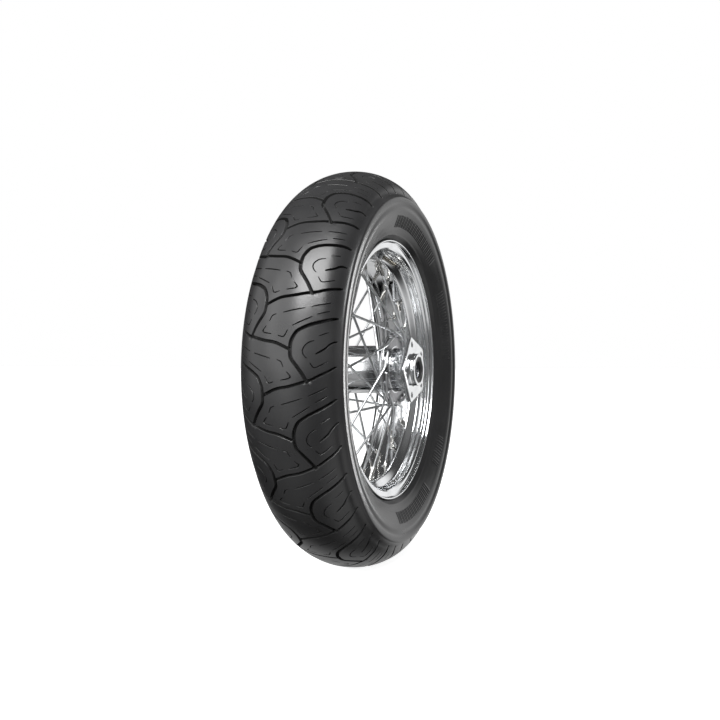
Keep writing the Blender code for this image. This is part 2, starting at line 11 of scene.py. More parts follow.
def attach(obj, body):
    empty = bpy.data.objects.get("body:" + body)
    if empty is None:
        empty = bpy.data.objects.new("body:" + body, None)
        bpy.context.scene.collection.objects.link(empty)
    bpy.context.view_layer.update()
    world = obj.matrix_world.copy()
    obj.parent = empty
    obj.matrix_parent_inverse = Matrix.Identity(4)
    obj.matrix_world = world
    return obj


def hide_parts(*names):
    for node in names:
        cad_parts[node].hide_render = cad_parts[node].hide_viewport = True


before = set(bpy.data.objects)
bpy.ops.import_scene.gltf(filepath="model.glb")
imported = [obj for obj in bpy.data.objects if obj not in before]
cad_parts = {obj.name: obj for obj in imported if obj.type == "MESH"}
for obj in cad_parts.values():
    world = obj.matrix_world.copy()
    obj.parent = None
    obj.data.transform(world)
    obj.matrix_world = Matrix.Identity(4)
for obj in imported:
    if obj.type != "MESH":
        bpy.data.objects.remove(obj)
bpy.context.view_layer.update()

# Looks of a wire-spoked motorcycle wheel and its tyre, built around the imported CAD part.
# Metres, +Z up.  The wheel's centre is the origin, the axle lies along Y, and the brake side is
# at -Y.  Outlines are (radius, y) points that are turned about the Y axis.  Angles are measured
# about Y from +X towards +Z, in degrees.  The sizes repeat those of the CAD part.

GAP = 0.0003

# Tyre
TYRE_RADIUS = 0.330
TREAD_HALF_WIDTH = 0.0705
TREAD_EDGE_RADIUS = 0.2931
CROWN_POWER_ACROSS = 2.03
CROWN_POWER_UP = 1.49
TREAD_THICKNESS = 0.0115
TREAD_SPAN = 0.0930  # from the crown's middle to the edge of the patterned part, along the surface
PITCHES = 16
STEPS_PER_PITCH = 36
SIDE_STEPS = 2  # finer steps of the sidewall's ribs, for each step of a pitch
RIB_HEIGHT = 0.0009
RIBBED_BAND = (0.2364, 0.2549)
RIBBED_ARCS = ((4.0, 36.0), (52.0, 100.0), (136.0, 168.0), (262.0, 300.0), (314.0, 328.0))
RIB_STEPS = (0, 1, 1, 1, 0, 0, 1, 1, 0)
PITCH_SWING = 0.026  # the pitches grow and shrink a little round the tyre
TREAD_PHASE = 5.3  # from the tyre's front, upwards, to a junction of the brake side

# Kinds of line in the tread: half width, depth, how far the wall leans in, and how many of the
# line's ends grow narrow, counted from its last point
BLUNT_GROOVE = (0.0026, 0.0072, 0.0010, 0)
GROOVE = (0.0026, 0.0072, 0.0010, 1)
CROSS_GROOVE = (0.0023, 0.0068, 0.0010, 1)
SLOT = (0.0017, 0.0050, 0.0008, 2)
SIPE = (0.0008, 0.0026, 0.0004, 2)
TAPER = 0.0080
END_WIDTH = 0.62
EDGE_ROUND = 0.0002

# Lines of one half pitch: millimetres across the tread from the crown's middle, and degrees
# round the tyre from the half's junction.  The other half is its mirror image, half a pitch on
JUNCTION = 21.0
TREAD_LINES = (
    (GROOVE, ((JUNCTION, 0.0), (22.0, 2.1), (28.0, 4.3), (35.0, 5.3), (45.0, 6.3), (60.0, 7.4),
              (75.0, 8.5), (87.5, 9.3))),
    (BLUNT_GROOVE, ((JUNCTION, 0.0), (22.5, -2.0), (30.0, -3.9), (36.0, -5.4), (42.0, -7.2),
                    (44.5, -8.0))),
    (CROSS_GROOVE, ((-JUNCTION, -11.25), (0.0, -9.6), (20.0, -8.9), (40.0, -7.9), (50.0, -7.4),
                    (60.0, -6.5), (70.0, -5.7), (80.0, -4.9), (88.0, -4.2))),
    (SLOT, ((56.5, -0.9), (69.0, 0.5), (75.0, 1.6), (82.0, 2.4), (88.5, 2.8))),
    (SIPE, ((60.0, 3.8), (73.0, 4.9))),
    (SIPE, ((53.0, 2.5), (45.0, 1.8), (40.0, 0.8), (38.0, -0.3), (39.5, -1.2), (41.5, -1.7), (44.0, -2.0))),
    (SIPE, ((48.5, -3.2), (53.0, -4.3), (57.0, -4.3), (65.0, -3.6), (73.0, -2.8))),
    (SIPE, ((8.0, 9.15), (37.0, 10.55))),
    (SIPE, ((46.0, 11.05), (72.0, 12.95))),
    (SIPE, ((22.5, 5.95), (47.5, 8.45))),
    (SIPE, ((55.0, 9.35), (72.0, 10.65))),
    (SIPE, ((-3.0, 8.75), (-8.5, 8.35), (-12.0, 7.05))),
    (SIPE, ((-17.0, 5.85), (-22.5, 4.65), (-20.0, 4.25), (-8.0, 3.85))),
    (SIPE, ((3.0, 3.45), (11.0, 3.15), (16.0, 4.75))),
)

# Rim
LIP_RADIUS = 0.217
LIP_HALF_WIDTH = 0.0552
SEAT_RADIUS = 0.2020
WELL_RADIUS = 0.1885
WELL_HALF_WIDTH = 0.0195
RAMP_TOP_Y = 0.0285
RIM_WALL = 0.0021
RIM_SEGMENTS = 400
DIMPLE_DEPTH = 0.0012
DIMPLE_RADIUS = 0.0060

# Hub
BARREL_RADIUS = 0.0405
NECK_RADIUS = 0.0365
BOSS_RADIUS = 0.0270
CORE_RADIUS = 0.0300
BRAKE_FLANGE_RADIUS = 0.0635
DRIVE_FLANGE_RADIUS = 0.0525
FLANGE_INNER_Y = 0.0495
FLANGE_OUTER_Y = 0.0550
BRAKE_PLATE_FACE_Y = 0.0884
DRIVE_PLATE_FACE_Y = 0.0784
BOSS_HEIGHT = 0.0080
PLATE_THICKNESS = 0.0074
PLATE_CORNER_RADIUS = 0.0560
PLATE_CORNER_ROUND = 0.0080
PLATE_PHASE = 180.0
PLATES = ((-BRAKE_PLATE_FACE_Y, PLATE_THICKNESS - BRAKE_PLATE_FACE_Y),
          (DRIVE_PLATE_FACE_Y, DRIVE_PLATE_FACE_Y - PLATE_THICKNESS))  # face and back
BOLT_CIRCLE_RADIUS = 0.0438
BOLT_HOLE_RADIUS = 0.0041
HUB_SEGMENTS = 128

# Bearings
AXLE_RADIUS = 0.0100
BEARING_RADIUS = 0.0210
BEARING_WIDTH = 0.0120
BALL_PATH_RADIUS = 0.0155
BALL_RADIUS = 0.0031
BALL_COUNT = 9
INNER_SHOULDER_RADIUS = 0.0133
OUTER_SHOULDER_RADIUS = 0.0177
SEAL_WIDTH = 0.0055
SEAL_LIP_RADIUS = 0.0137
BEARING_SEGMENTS = 96

# Spokes
SPOKES_PER_FLANGE = 20
SPOKE_STEP = 360.0 / SPOKES_PER_FLANGE
SPOKE_PHASE = 4.5
SPOKE_SWEEP = 72.0
SPOKE_RADIUS = 0.0020
HEAD_RADIUS = 0.0038
HEAD_THICKNESS = 0.0014
NIPPLE_RADIUS = 0.0034
NIPPLE_FLAT = 0.0027
NIPPLE_LENGTH = 0.0185
NIPPLE_HEAD_RADIUS = 0.0047
NIPPLE_THROUGH = 0.0045
BRAKE_HOLE_CIRCLE = 0.0575
DRIVE_HOLE_CIRCLE = 0.0468
OUTER_NIPPLE_Y = 0.0095
INNER_NIPPLE_Y = 0.0040
SPOKE_SIDES = 16

# Valve, with heights above the rim's ramp
VALVE_ANGLE = 88.0
STEM_RADIUS = 0.0038
STEM_BORE = 0.0019
STEM_FOOT = -0.0088
STEM_SHOULDER = 0.0340
STEM_TOP = 0.0415
CAP_BOTTOM = 0.0353
CAP_TOP = 0.0437
STEM_TIP_RADIUS = 0.0026
THREAD_PITCH = 0.0008
THREAD_DEPTH = 0.0004
VALVE_SIDES = 48

# Camera: azimuth from -Y towards +X, elevation, distance, focal length in millimetres, and shift
CAMERA_AZIMUTH = -68.305
CAMERA_ELEVATION = 0.634
CAMERA_DISTANCE = 1.446
CAMERA_LENS = 42.34
CAMERA_SHIFT = (-0.0075, 0.0132)

# Bright areas of the studio: azimuth from +X towards +Y, elevation, edge and core angle, brightness
STUDIO_AREAS = (
    (0.0, 90.0, 180.0, 0.0, 0.08),
    (168.0, 28.0, 38.0, 32.0, 2.2),
    (115.0, 24.0, 38.0, 16.0, 1.3),
    (158.0, -34.0, 60.0, 20.0, 0.34),
    (272.0, -5.0, 50.0, 20.0, 0.16),
    (275.0, -50.0, 36.0, 16.0, 0.70),
    (344.0, 0.0, 34.0, 20.0, 0.95),
    (22.0, -34.0, 34.0, 18.0, 0.60),
)


# ---- geometry helpers ----

def on_circle(radius, y, angle):
    turn = radians(angle)
    return Vector((radius * cos(turn), y, radius * sin(turn)))


def turn_about_axle(angle):
    """Matrix that carries angle 0 to the given angle about the axle."""
    return Matrix.Rotation(-radians(angle), 4, 'Y')


def smooth_curve(points, spacing):
    """Points along a curve that passes through the given ones."""
    result = []
    padded = np.array([points[0], *points, points[-1]], float)
    for p0, p1, p2, p3 in zip(padded, padded[1:], padded[2:], padded[3:]):
        steps = max(1, round(float(np.linalg.norm(p2 - p1)) / spacing))
        for step in range(steps):
            t = step / steps
            result.append(0.5 * (2 * p1 + (p2 - p0) * t + (2 * p0 - 5 * p1 + 4 * p2 - p3) * t * t
                                 + (3 * p1 - p0 - 3 * p2 + p3) * t ** 3))
    return [*result, padded[-1]]


def rounded(corners, steps=4):
    """Outline whose (radius, y, rounding) corners are turned into small curves."""
    result = []
    for k, (radius, y, rounding) in enumerate(corners):
        if rounding <= 0.0:
            result.append((radius, y))
            continue
        corner = Vector((radius, y))
        back = Vector(corners[k - 1][:2]) - corner
        ahead = Vector(corners[(k + 1) % len(corners)][:2]) - corner
        half_angle = max(back.angle(ahead) / 2, 0.2)
        reach = min(rounding / tan(half_angle), 0.45 * back.length, 0.45 * ahead.length)
        start = corner + back.normalized() * reach
        end = corner + ahead.normalized() * reach
        result += [tuple(point) for point in curve(start, corner, end, steps)]
    return result


def curve(start, corner, end, steps):
    """Points of a curve that replaces a corner."""
    return [start * (1 - t) ** 2 + corner * 2 * t * (1 - t) + end * t ** 2
            for t in (step / steps for step in range(steps + 1))]


def add_piece(name, bm, material, placement=None, sharp_angle=32.0):
    """Turn a bmesh into a named object."""
    bmesh.ops.recalc_face_normals(bm, faces=bm.faces)
    mesh = bpy.data.meshes.new(name)
    bm.to_mesh(mesh)
    bm.free()
    mesh.shade_smooth()
    mesh.set_sharp_from_angle(angle=radians(sharp_angle))
    if material:
        mesh.materials.append(material)
    return place(name, mesh, placement)


def place(name, data, placement=None):
    piece = bpy.data.objects.new(name, data)
    bpy.context.scene.collection.objects.link(piece)
    if placement:
        piece.matrix_world = placement
    return piece


def hand_over(piece, body, slot, *nodes):
    """Let a piece ride on a body, and stand for CAD nodes."""
    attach(piece, body)
    if nodes:
        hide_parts(*nodes)


def bridge(bm, first, second):
    """Faces between two rings.  One may have several times as many points as the other, or be a tip."""
    few, many = sorted((first, second), key=len)
    if len(few) == 1:
        for k, vert in enumerate(many):
            bm.faces.new((few[0], vert, many[(k + 1) % len(many)]))
        return
    ratio = len(many) // len(few)
    for k in range(len(few)):
        n = (k + 1) % len(few)
        corners = [few[k]] + [many[(k * ratio + step) % len(many)] for step in range(ratio + 1)] + [few[n]]
        bm.faces.new(list(dict.fromkeys(corners)))


def skin(bm, rows, closed=False, capped=False):
    """Faces from each ring of points to the next, and back to the first or over both ends."""
    for first, second in zip(rows, rows[1:] + (rows[:1] if closed else [])):
        bridge(bm, first, second)
    if capped:
        bm.faces.new(rows[0])
        bm.faces.new(rows[-1])
    return bm


def turned(outline, segments):
    """Body about Y through (radius, y) rows; a row's radius may be an array, with one for each point.
    An open outline starts and ends on the axle line."""
    bm = bmesh.new()
    rows = []
    for radius, y in outline:
        count = segments if np.any(radius) else 1
        rows.append([bm.verts.new(on_circle(float(reach), y, 360.0 * k / count))
                     for k, reach in enumerate(np.broadcast_to(radius, count))])
    return skin(bm, rows, closed=len(rows[0]) > 1)


def swept(stations, sides, bm=None):
    """Bar through (point, radius, half width across flats or None) stations, closed at both ends."""
    bm = bm or bmesh.new()
    points = [station[0] for station in stations]
    side = Vector((0.3, 0.2, 1.0))
    rows = []
    for index, (point, radius, flat) in enumerate(stations):
        before = next((p for p in reversed(points[:index]) if (p - point).length > 1e-6), point)
        after = next((p for p in points[index + 1:] if (p - point).length > 1e-6), point)
        along = ((after - point).normalized() + (point - before).normalized()).normalized()
        side = (side - along * side.dot(along)).normalized()
        across = along.cross(side)
        row = []
        for k in range(sides):
            way = cos(2.0 * pi * k / sides), sin(2.0 * pi * k / sides)
            reach = min(radius, flat / max(abs(way[0]), abs(way[1]))) if flat else radius
            row.append(bm.verts.new(point + (side * way[0] + across * way[1]) * reach))
        rows.append(row)
    return skin(bm, rows, capped=True)


def facing(where, way):
    """Matrix that puts something at a point, with its +Z along a direction."""
    return Matrix.Translation(where) @ Vector(way).to_track_quat('Z', 'Y').to_matrix().to_4x4()


def add_rod(bm, start, end, radius, sides):
    """Add a straight closed rod to a bmesh, for holes."""
    bmesh.ops.create_cone(bm, cap_ends=True, segments=sides, radius1=radius, radius2=radius,
                          depth=(end - start).length, matrix=facing((start + end) / 2, end - start))


def band(inner, outer, low, high, inner_rounding, outer_rounding):
    """Outline of a ring with rounded edges."""
    return rounded([(inner, low, inner_rounding), (inner, high, inner_rounding),
                    (outer, high, outer_rounding), (outer, low, outer_rounding)], steps=2)


def combine(piece, steps):
    """Apply Booleans to a piece: steps are (operation, bmesh)."""
    cutters = []
    for operation, bm in steps:
        cutters.append(add_piece("cutter", bm, None))
        step = piece.modifiers.new("step", 'BOOLEAN')
        step.operation = operation
        step.object = cutters[-1]
        step.solver = 'EXACT'
    graph = bpy.context.evaluated_depsgraph_get()
    old = piece.data
    piece.data = bpy.data.meshes.new_from_object(piece.evaluated_get(graph))
    piece.modifiers.clear()
    bpy.data.meshes.remove(old)
    for cutter in cutters:
        bpy.data.objects.remove(cutter, do_unlink=True)
    piece.data.set_sharp_from_angle(angle=radians(32.0))


# ---- materials ----

def plug(tree, node, inputs):
    """Set a node's inputs to values, or link them to other nodes' outputs."""
    for key, value in inputs.items():
        if isinstance(value, bpy.types.NodeSocket):
            tree.links.new(value, node.inputs[key])
        else:
            node.inputs[key].default_value = value


def add_node(tree, kind, inputs, output, **settings):
    """Output of a new shader node."""
    node = tree.nodes.new("ShaderNode" + kind)
    for name, value in settings.items():
        setattr(node, name, value)
    plug(tree, node, inputs)
    return node.outputs[output]


def add_noise(tree, scale, detail):
    """Noise in the object's own space; scale is in cells per metre."""
    where = add_node(tree, "TexCoord", {}, "Object")
    return add_node(tree, "TexNoise", {"Vector": where, "Scale": scale, "Detail": detail}, "Fac")


def clouded(name, dark, light, smooth, rough, scale, detail=5.0):
    """Material whose colour and roughness wander a little, with its node tree and its shader."""
    material = bpy.data.materials.new(name)
    material.use_nodes = True
    tree = material.node_tree
    shader = tree.nodes["Principled BSDF"]
    clouds = add_noise(tree, scale, detail)
    ramp = tree.nodes.new("ShaderNodeValToRGB")
    for element, position, colour in zip(ramp.color_ramp.elements, (0.35, 0.65), (dark, light)):
        element.position = position
        element.color = (*colour, 1.0)
    plug(tree, ramp, {"Fac": clouds})
    roughness = add_node(tree, "MapRange", {"Value": clouds, "From Min": 0.3, "From Max": 0.7,
                                            "To Min": smooth, "To Max": rough}, "Result")
    plug(tree, shader, {"Base Color": ramp.outputs["Color"], "Roughness": roughness})
    return material, tree, shader


def add_bump(tree, shader, height, distance, strength=0.5):
    normal = add_node(tree, "Bump", {"Height": height, "Distance": distance, "Strength": strength}, "Normal")
    plug(tree, shader, {"Normal": normal})


def rubber(name, dark, light, smooth, rough, grain):
    """Vulcanised rubber: cloudy dark grey, with a fine moulded grain."""
    material, tree, shader = clouded(name, dark, light, smooth, rough, 14.0, 6.0)
    add_bump(tree, shader, add_noise(tree, 900.0, 2.0), grain, 0.6)
    return material


def metal(name, dark, light, smooth, rough, scale, grain=0.0):
    """Bare or plated metal, with a faint cloudiness and fine wear marks."""
    material, tree, shader = clouded(name, dark, light, smooth, rough, scale)
    plug(tree, shader, {"Metallic": 1.0})
    if grain:
        add_bump(tree, shader, add_noise(tree, scale * 12, 3.0), grain)
    return material


def turned_metal(name, dark, light, smooth, rough, rings_per_metre):
    """Alloy finished on a lathe: fine rings about the axle."""
    material, tree, shader = clouded(name, dark, light, smooth, rough, 45.0)
    plug(tree, shader, {"Metallic": 1.0})
    where = add_node(tree, "TexCoord", {}, "Object")
    flat = add_node(tree, "VectorMath", {0: where, 1: (1.0, 0.0, 1.0)}, "Vector", operation='MULTIPLY')
    reach = add_node(tree, "VectorMath", {0: flat}, "Value", operation='LENGTH')
    rings = add_node(tree, "TexNoise", {"W": reach, "Scale": rings_per_metre}, "Fac", noise_dimensions='1D')
    add_bump(tree, shader, rings, 0.00001)
    return material


def plastic(name, dark, light, smooth, rough):
    material, tree, shader = clouded(name, dark, light, smooth, rough, 200.0, 4.0)
    add_bump(tree, shader, add_noise(tree, 3000.0, 2.0), 0.00004)
    return material


# ---- tyre ----

def crown_profile(drop=0.0, narrow=0.0, steps=400):
    """Half of the tread's curve as (radius, y) points, from its middle to its edge."""
    angle = np.linspace(0.0, pi / 2, steps + 1)
    y = (TREAD_HALF_WIDTH - narrow) * np.sin(angle) ** (2 / CROWN_POWER_ACROSS)
    lift = np.clip(np.cos(angle), 0.0, None) ** (2 / CROWN_POWER_UP)
    radius = TREAD_EDGE_RADIUS + (TYRE_RADIUS - drop - TREAD_EDGE_RADIUS) * lift
    return np.column_stack([radius, y])


def tread_surface(across):
    """Radius, y and outward normal at distances across the tread from the crown's middle."""
    crown = crown_profile()
    shoulder = smooth_curve([crown[-24], (0.2915, 0.0712), (0.2888, 0.0733), (0.286, 0.0762)], 0.0004)
    points = np.vstack([crown[:-24], shoulder])
    lengths = lengths_along(points)

    def at(distance):
        reach = np.abs(distance)
        radius, y = (np.interp(reach, lengths, points[:, axis]) for axis in (0, 1))
        return np.array([radius, y * np.sign(distance)])

    distance = np.abs(across)
    side = np.where(across < 0, -1.0, 1.0)
    step = 0.0015
    along = at(np.clip(distance + step, 0.0, lengths[-1])) - at(distance - step)
    along /= np.linalg.norm(along, axis=0)
    radius, y = at(distance)
    return radius, y * side, along[1], -along[0] * side


def lengths_along(points):
    """Distance of each point from the first, along the line through them."""
    return np.concatenate([[0.0], np.cumsum(np.linalg.norm(np.diff(points, axis=0), axis=1))])


def tread_strokes(pitch_length):
    """Every line that reaches into one pitch: points in metres, half widths, depth and wall lean."""
    per_degree = radians(1.0) * TYRE_RADIUS
    margin = 0.006
    strokes = []
    for (half_width, depth, lean, tapers), line in TREAD_LINES:
        plane = [(across / 1000.0, angle * per_degree) for across, angle in line]
        points = np.array(smooth_curve(plane, 0.0025))
        run = lengths_along(points)
        share = np.ones(len(points))
        for distance in (run[-1] - run, run)[:tapers]:
            share = np.minimum(share, distance / TAPER)
        widths = half_width * (END_WIDTH + (1.0 - END_WIDTH) * share)
        for mirror, shift in ((1.0, 0.0), (-1.0, 0.5 * pitch_length)):
            for copy in (-2, -1, 0, 1, 2):
                moved = points * (mirror, 1.0) + (0.0, shift + copy * pitch_length)
                if moved[:, 1].max() > -margin and moved[:, 1].min() < pitch_length + margin:
                    strokes.append((moved, widths, depth, lean))
    return strokes


def stroke_outline(points, widths, offset):
    """Closed line round a stroke, at an offset outside (or inside) its edge."""
    along = np.gradient(points, axis=0)
    along /= np.linalg.norm(along, axis=1)[:, None]
    normal = np.column_stack([-along[:, 1], along[:, 0]])
    reach = np.maximum(widths + offset, 0.00015)[:, None]

    def cap(end, way):
        turns = [pi * step / 4 for step in (1, 2, 3)]
        return [points[end] + (normal[end] * cos(turn) + along[end] * sin(turn)) * way * reach[end]
                for turn in turns]

    return [*(points + normal * reach), *cap(-1, 1.0), *(points - normal * reach)[::-1], *cap(0, -1.0)]


def edge_distance(points, line, widths):
    """Distance of each point from a stroke's edge, negative inside it."""
    start = line[:-1]
    span = line[1:] - start
    offset = points[:, None, :] - start[None, :, :]
    share = np.clip((offset * span).sum(2) / (span ** 2).sum(1), 0.0, 1.0)
    distance = np.linalg.norm(offset - span * share[:, :, None], axis=2)
    return (distance - widths[:-1] - (widths[1:] - widths[:-1]) * share).min(axis=1)


def tread_field(points, strokes):
    """Depth of the pattern, and distance from its nearest edge, at each point."""
    height = np.zeros(len(points))
    nearest = np.full(len(points), 1.0)
    for line, widths, depth, lean in strokes:
        near = ((points > line.min(axis=0) - 0.008) & (points < line.max(axis=0) + 0.008)).all(axis=1)
        if not near.any():
            continue
        distance = edge_distance(points[near], line, widths)
        top = -EDGE_ROUND * np.clip(1.0 - distance / EDGE_ROUND, 0.0, 1.0)
        wall = -EDGE_ROUND - (depth - EDGE_ROUND) * np.clip(-distance / lean, 0.0, 1.0)
        height[near] = np.minimum(height[near], np.where(distance > 0, top, wall))
        nearest[near] = np.minimum(nearest[near], distance)
    return height, nearest


def tread_pitch():
    """One pitch of the tread in the plane: points (across, along), their heights, and triangles."""
    pitch_length = 2 * pi * TYRE_RADIUS / PITCHES
    strokes = tread_strokes(pitch_length)
    lines = [[(across, along) for across in np.linspace(-TREAD_SPAN, TREAD_SPAN, 41)]
             for along in (0.0, pitch_length)]
    lines += [[(across, along) for along in np.linspace(0.0, pitch_length, STEPS_PER_PITCH + 1)]
              for across in (-TREAD_SPAN, TREAD_SPAN)]
    for line, widths, _, lean in strokes:
        for offset in (EDGE_ROUND, 0.0, -lean):
            loop = stroke_outline(line, widths, offset)
            lines.append(loop + loop[:1])
    points = []
    edges = []
    for line in lines:
        edges.extend((len(points) + k, len(points) + k + 1) for k in range(len(line) - 1))
        points.extend(Vector(p) for p in line)
    spacing = 0.0048
    rows = int(2 * TREAD_SPAN / spacing)
    columns = int(pitch_length / spacing)
    column_length = pitch_length / columns
    grid = np.array([(-TREAD_SPAN + (row + 0.5) * spacing, column_length * (column + 0.25 + 0.5 * (row % 2)))
                     for row in range(rows) for column in range(columns)])
    _, clear = tread_field(grid, strokes)
    inside = (clear > 0.0016) & (grid[:, 1] > 0.0012) & (grid[:, 1] < pitch_length - 0.0012)
    inside &= np.abs(grid[:, 0]) < TREAD_SPAN - 0.0015
    points.extend(Vector(p) for p in grid[inside])
    flat, _, triangles, *_ = delaunay_2d_cdt(points, edges, [], 0, 1e-7, False)
    flat = np.array([tuple(p) for p in flat])
    triangles = np.array(triangles)
    middle = flat[triangles].mean(axis=1)
    keep = (np.abs(middle[:, 0]) < TREAD_SPAN) & (middle[:, 1] > 0) & (middle[:, 1] < pitch_length)
    height, _ = tread_field(flat, strokes)
    height[np.abs(flat[:, 0]) > TREAD_SPAN - 1e-6] = 0.0
    return flat, height, triangles[keep], pitch_length


def swing(angle):
    """Angle round the tyre, in radians, with the pitches' small changes in length."""
    return angle - PITCH_SWING * sin(angle)


def front_angle(angle):
    """The tread's angles, counted upwards from the tyre's front, as degrees about the axle."""
    return 180.0 - TREAD_PHASE - degrees(angle)


def sidewall_rows():
    """Outline rows from the tread's edge to the bead: (radius, y, ribbed)."""
    ring = smooth_curve([(0.286, 0.0762), (0.2852, 0.0776), (0.284, 0.0788), (0.2822, 0.0795),
                         (0.2800, 0.0797), (0.2775, 0.0796), (0.2752, 0.0791), (0.2732, 0.078),
                         (0.2712, 0.0771), (0.269, 0.077), (0.2665, 0.0775), (0.2638, 0.0778),
                         (0.261, 0.0773), (0.258, 0.0764), (0.2556, 0.0755)], 0.0008)[1:]
    ribs = [(0.2552, 0.0753), (0.2546, 0.075), (0.2500, 0.0733), (0.245, 0.0711), (0.2400, 0.0687),
            (0.2366, 0.0669), (0.2361, 0.0666)]
    lower = smooth_curve([(0.2356, 0.0664), (0.233, 0.065), (0.2300, 0.0633),
                          (0.2262, 0.0609), (0.2248, 0.0605), (0.2238, 0.0594), (0.2222, 0.0574),
                          (0.2200, 0.0548), (0.2182, 0.0523)], 0.0012)
    rows = [*map(tuple, ring), *ribs, *map(tuple, lower)]
    return [(*row, row in ribs[1:-1]) for row in rows]


def inner_tyre_half():
    """Bead and inside of the tyre, from the rim's lip to the middle, on the +Y side."""
    bead = rounded([(0.2174, 0.0512, 0.0), (LIP_RADIUS - 0.0009, 0.0482, 0.0008),
                    (LIP_RADIUS - 0.0045, 0.0467, 0.001), (SEAT_RADIUS + 0.0046, 0.0461, 0.001),
                    (SEAT_RADIUS + 0.0021, 0.044, 0.001), (SEAT_RADIUS + 0.0007, 0.029, 0.002),
                    (0.215, 0.032, 0.004), (0.2300, 0.054, 0.0)])
    inside = crown_profile(TREAD_THICKNESS, 0.006, 8)[::-1]
    wall = smooth_curve([(0.2300, 0.054), (0.256, 0.068), tuple(inside[0])], 0.012)
    return [tuple(p) for p in [*bead[:-1], *wall[:-1], *inside]]


def side_angles(steps):
    return [front_angle(swing(2 * pi * k / steps)) for k in range(steps)]


def add_tyre_sides(bm):
    """Sidewalls, beads and inside of the tyre, from one edge of the tread round to the other."""
    angles = side_angles(PITCHES * STEPS_PER_PITCH)
    fine_angles = side_angles(PITCHES * STEPS_PER_PITCH * SIDE_STEPS)
    raised = [RIB_HEIGHT * RIB_STEPS[k % len(RIB_STEPS)]
              * any(low <= angle % 360.0 <= high for low, high in RIBBED_ARCS)
              for k, angle in enumerate(fine_angles)]
    edge_radius, edge_y, _, _ = tread_surface(TREAD_SPAN)
    half = [(float(edge_radius), float(edge_y), False)] + sidewall_rows()
    half += [(radius, y, False) for radius, y in inner_tyre_half() if y > 1e-9]
    inner_middle = (TYRE_RADIUS - TREAD_THICKNESS, 0.0, False)
    rows = []
    for radius, y, ribbed in half + [inner_middle] + [(r, -y, ribbed) for r, y, ribbed in reversed(half)]:
        if not ribbed:
            rows.append([bm.verts.new(on_circle(radius, y, angle)) for angle in angles])
            continue
        share = copysign(1.0, y) * (RIBBED_BAND[0] < radius < RIBBED_BAND[1])
        rows.append([bm.verts.new(on_circle(radius, y + lift * share, angle))
                     for lift, angle in zip(raised, fine_angles)])
    skin(bm, rows)


def add_tread(bm):
    flat, height, triangles, pitch_length = tread_pitch()
    radius, y, normal_radius, normal_y = tread_surface(flat[:, 0])
    radius += height * normal_radius
    y += height * normal_y
    # Faces sunk in the grooves take the second material, whose darker colour is painted shade in the grooves.
    shaded_groove = height[triangles].mean(axis=1) < -2 * EDGE_ROUND
    for pitch in range(PITCHES):
        turns = 2 * pi * (pitch + flat[:, 1] / pitch_length) / PITCHES
        ring = [bm.verts.new(on_circle(float(r), -float(side), front_angle(swing(float(turn)))))
                for r, side, turn in zip(radius, y, turns)]
        for (a, b, c), in_shaded_groove in zip(triangles.tolist(), shaded_groove.tolist()):
            bm.faces.new((ring[a], ring[b], ring[c])).material_index = int(in_shaded_groove)
    unused = [vert for vert in bm.verts if not vert.link_faces]
    bmesh.ops.delete(bm, geom=unused, context='VERTS')


def build_tyre(material, groove_shade_material):
    bm = bmesh.new()
    add_tread(bm)
    add_tyre_sides(bm)
    bmesh.ops.remove_doubles(bm, verts=bm.verts, dist=0.00002)
    tyre = add_piece("tyre_with_tread", bm, material, sharp_angle=34.0)
    # The second material's darker colour is painted shade in the grooves.
    tyre.data.materials.append(groove_shade_material)
    hand_over(tyre, "wheel", "tyre_rubber", "tyre")


# ---- rim ----

def rim_outline():
    tyre_side = [
        (WELL_RADIUS, WELL_HALF_WIDTH, 0.006), (SEAT_RADIUS, RAMP_TOP_Y, 0.003),
        (SEAT_RADIUS + 0.0016, 0.0445, 0.001), (SEAT_RADIUS + 0.0042, 0.0466, 0.001),
        (LIP_RADIUS - 0.0045, 0.0472, 0.001), (LIP_RADIUS - 0.0014, 0.0487, 0.001),
        (LIP_RADIUS, 0.0518, 0.0015), (LIP_RADIUS - 0.0008, LIP_HALF_WIDTH, 0.0008),
    ]
    hub_side = [
        (LIP_RADIUS - 0.003, LIP_HALF_WIDTH, 0.0008), (LIP_RADIUS - 0.0026, 0.052, 0.0008),
        (LIP_RADIUS - 0.0048, 0.0494, 0.0012), (SEAT_RADIUS + 0.0022, 0.0487, 0.0012),
        (SEAT_RADIUS - 0.001, 0.046, 0.002), (SEAT_RADIUS - 0.0014, 0.0402, 0.0008),
        (SEAT_RADIUS - 0.0025, 0.0392, 0.0008), (SEAT_RADIUS - 0.0025, 0.038, 0.0008),
        (SEAT_RADIUS - 0.0016, 0.037, 0.0008), (SEAT_RADIUS - 0.0022, RAMP_TOP_Y + 0.0012, 0.005),
        (WELL_RADIUS - RIM_WALL, WELL_HALF_WIDTH + 0.0011, 0.006),
    ]
    half = tyre_side + hub_side
    return rounded(half + [(radius, -y, rounding) for radius, y, rounding in reversed(half)], steps=5)


def densified(outline, spacing):
    """Closed outline with extra points, so that no side is longer than the spacing."""
    result = []
    for start, end in zip(outline, outline[1:] + outline[:1]):
        steps = max(1, ceil(dist(start, end) / spacing))
        result += [Vector(start).lerp(Vector(end), step / steps) for step in range(steps)]
    return result


def press_dimples(bm):
    """Push the rim's well outwards round each nipple."""
    middles = np.array([turn @ spoke_points(family)[2]
                        for family in spoke_families() for turn in family.turns])
    for vert in bm.verts:
        radial = Vector((vert.co.x, 0.0, vert.co.z))
        if radial.length > WELL_RADIUS + 0.0005:
            continue
        on_well = radial.normalized() * (WELL_RADIUS - RIM_WALL)
        nearest = np.linalg.norm(middles - (on_well.x, vert.co.y, on_well.z), axis=1).min()
        vert.co += radial.normalized() * DIMPLE_DEPTH * exp(-(nearest / DIMPLE_RADIUS) ** 2)


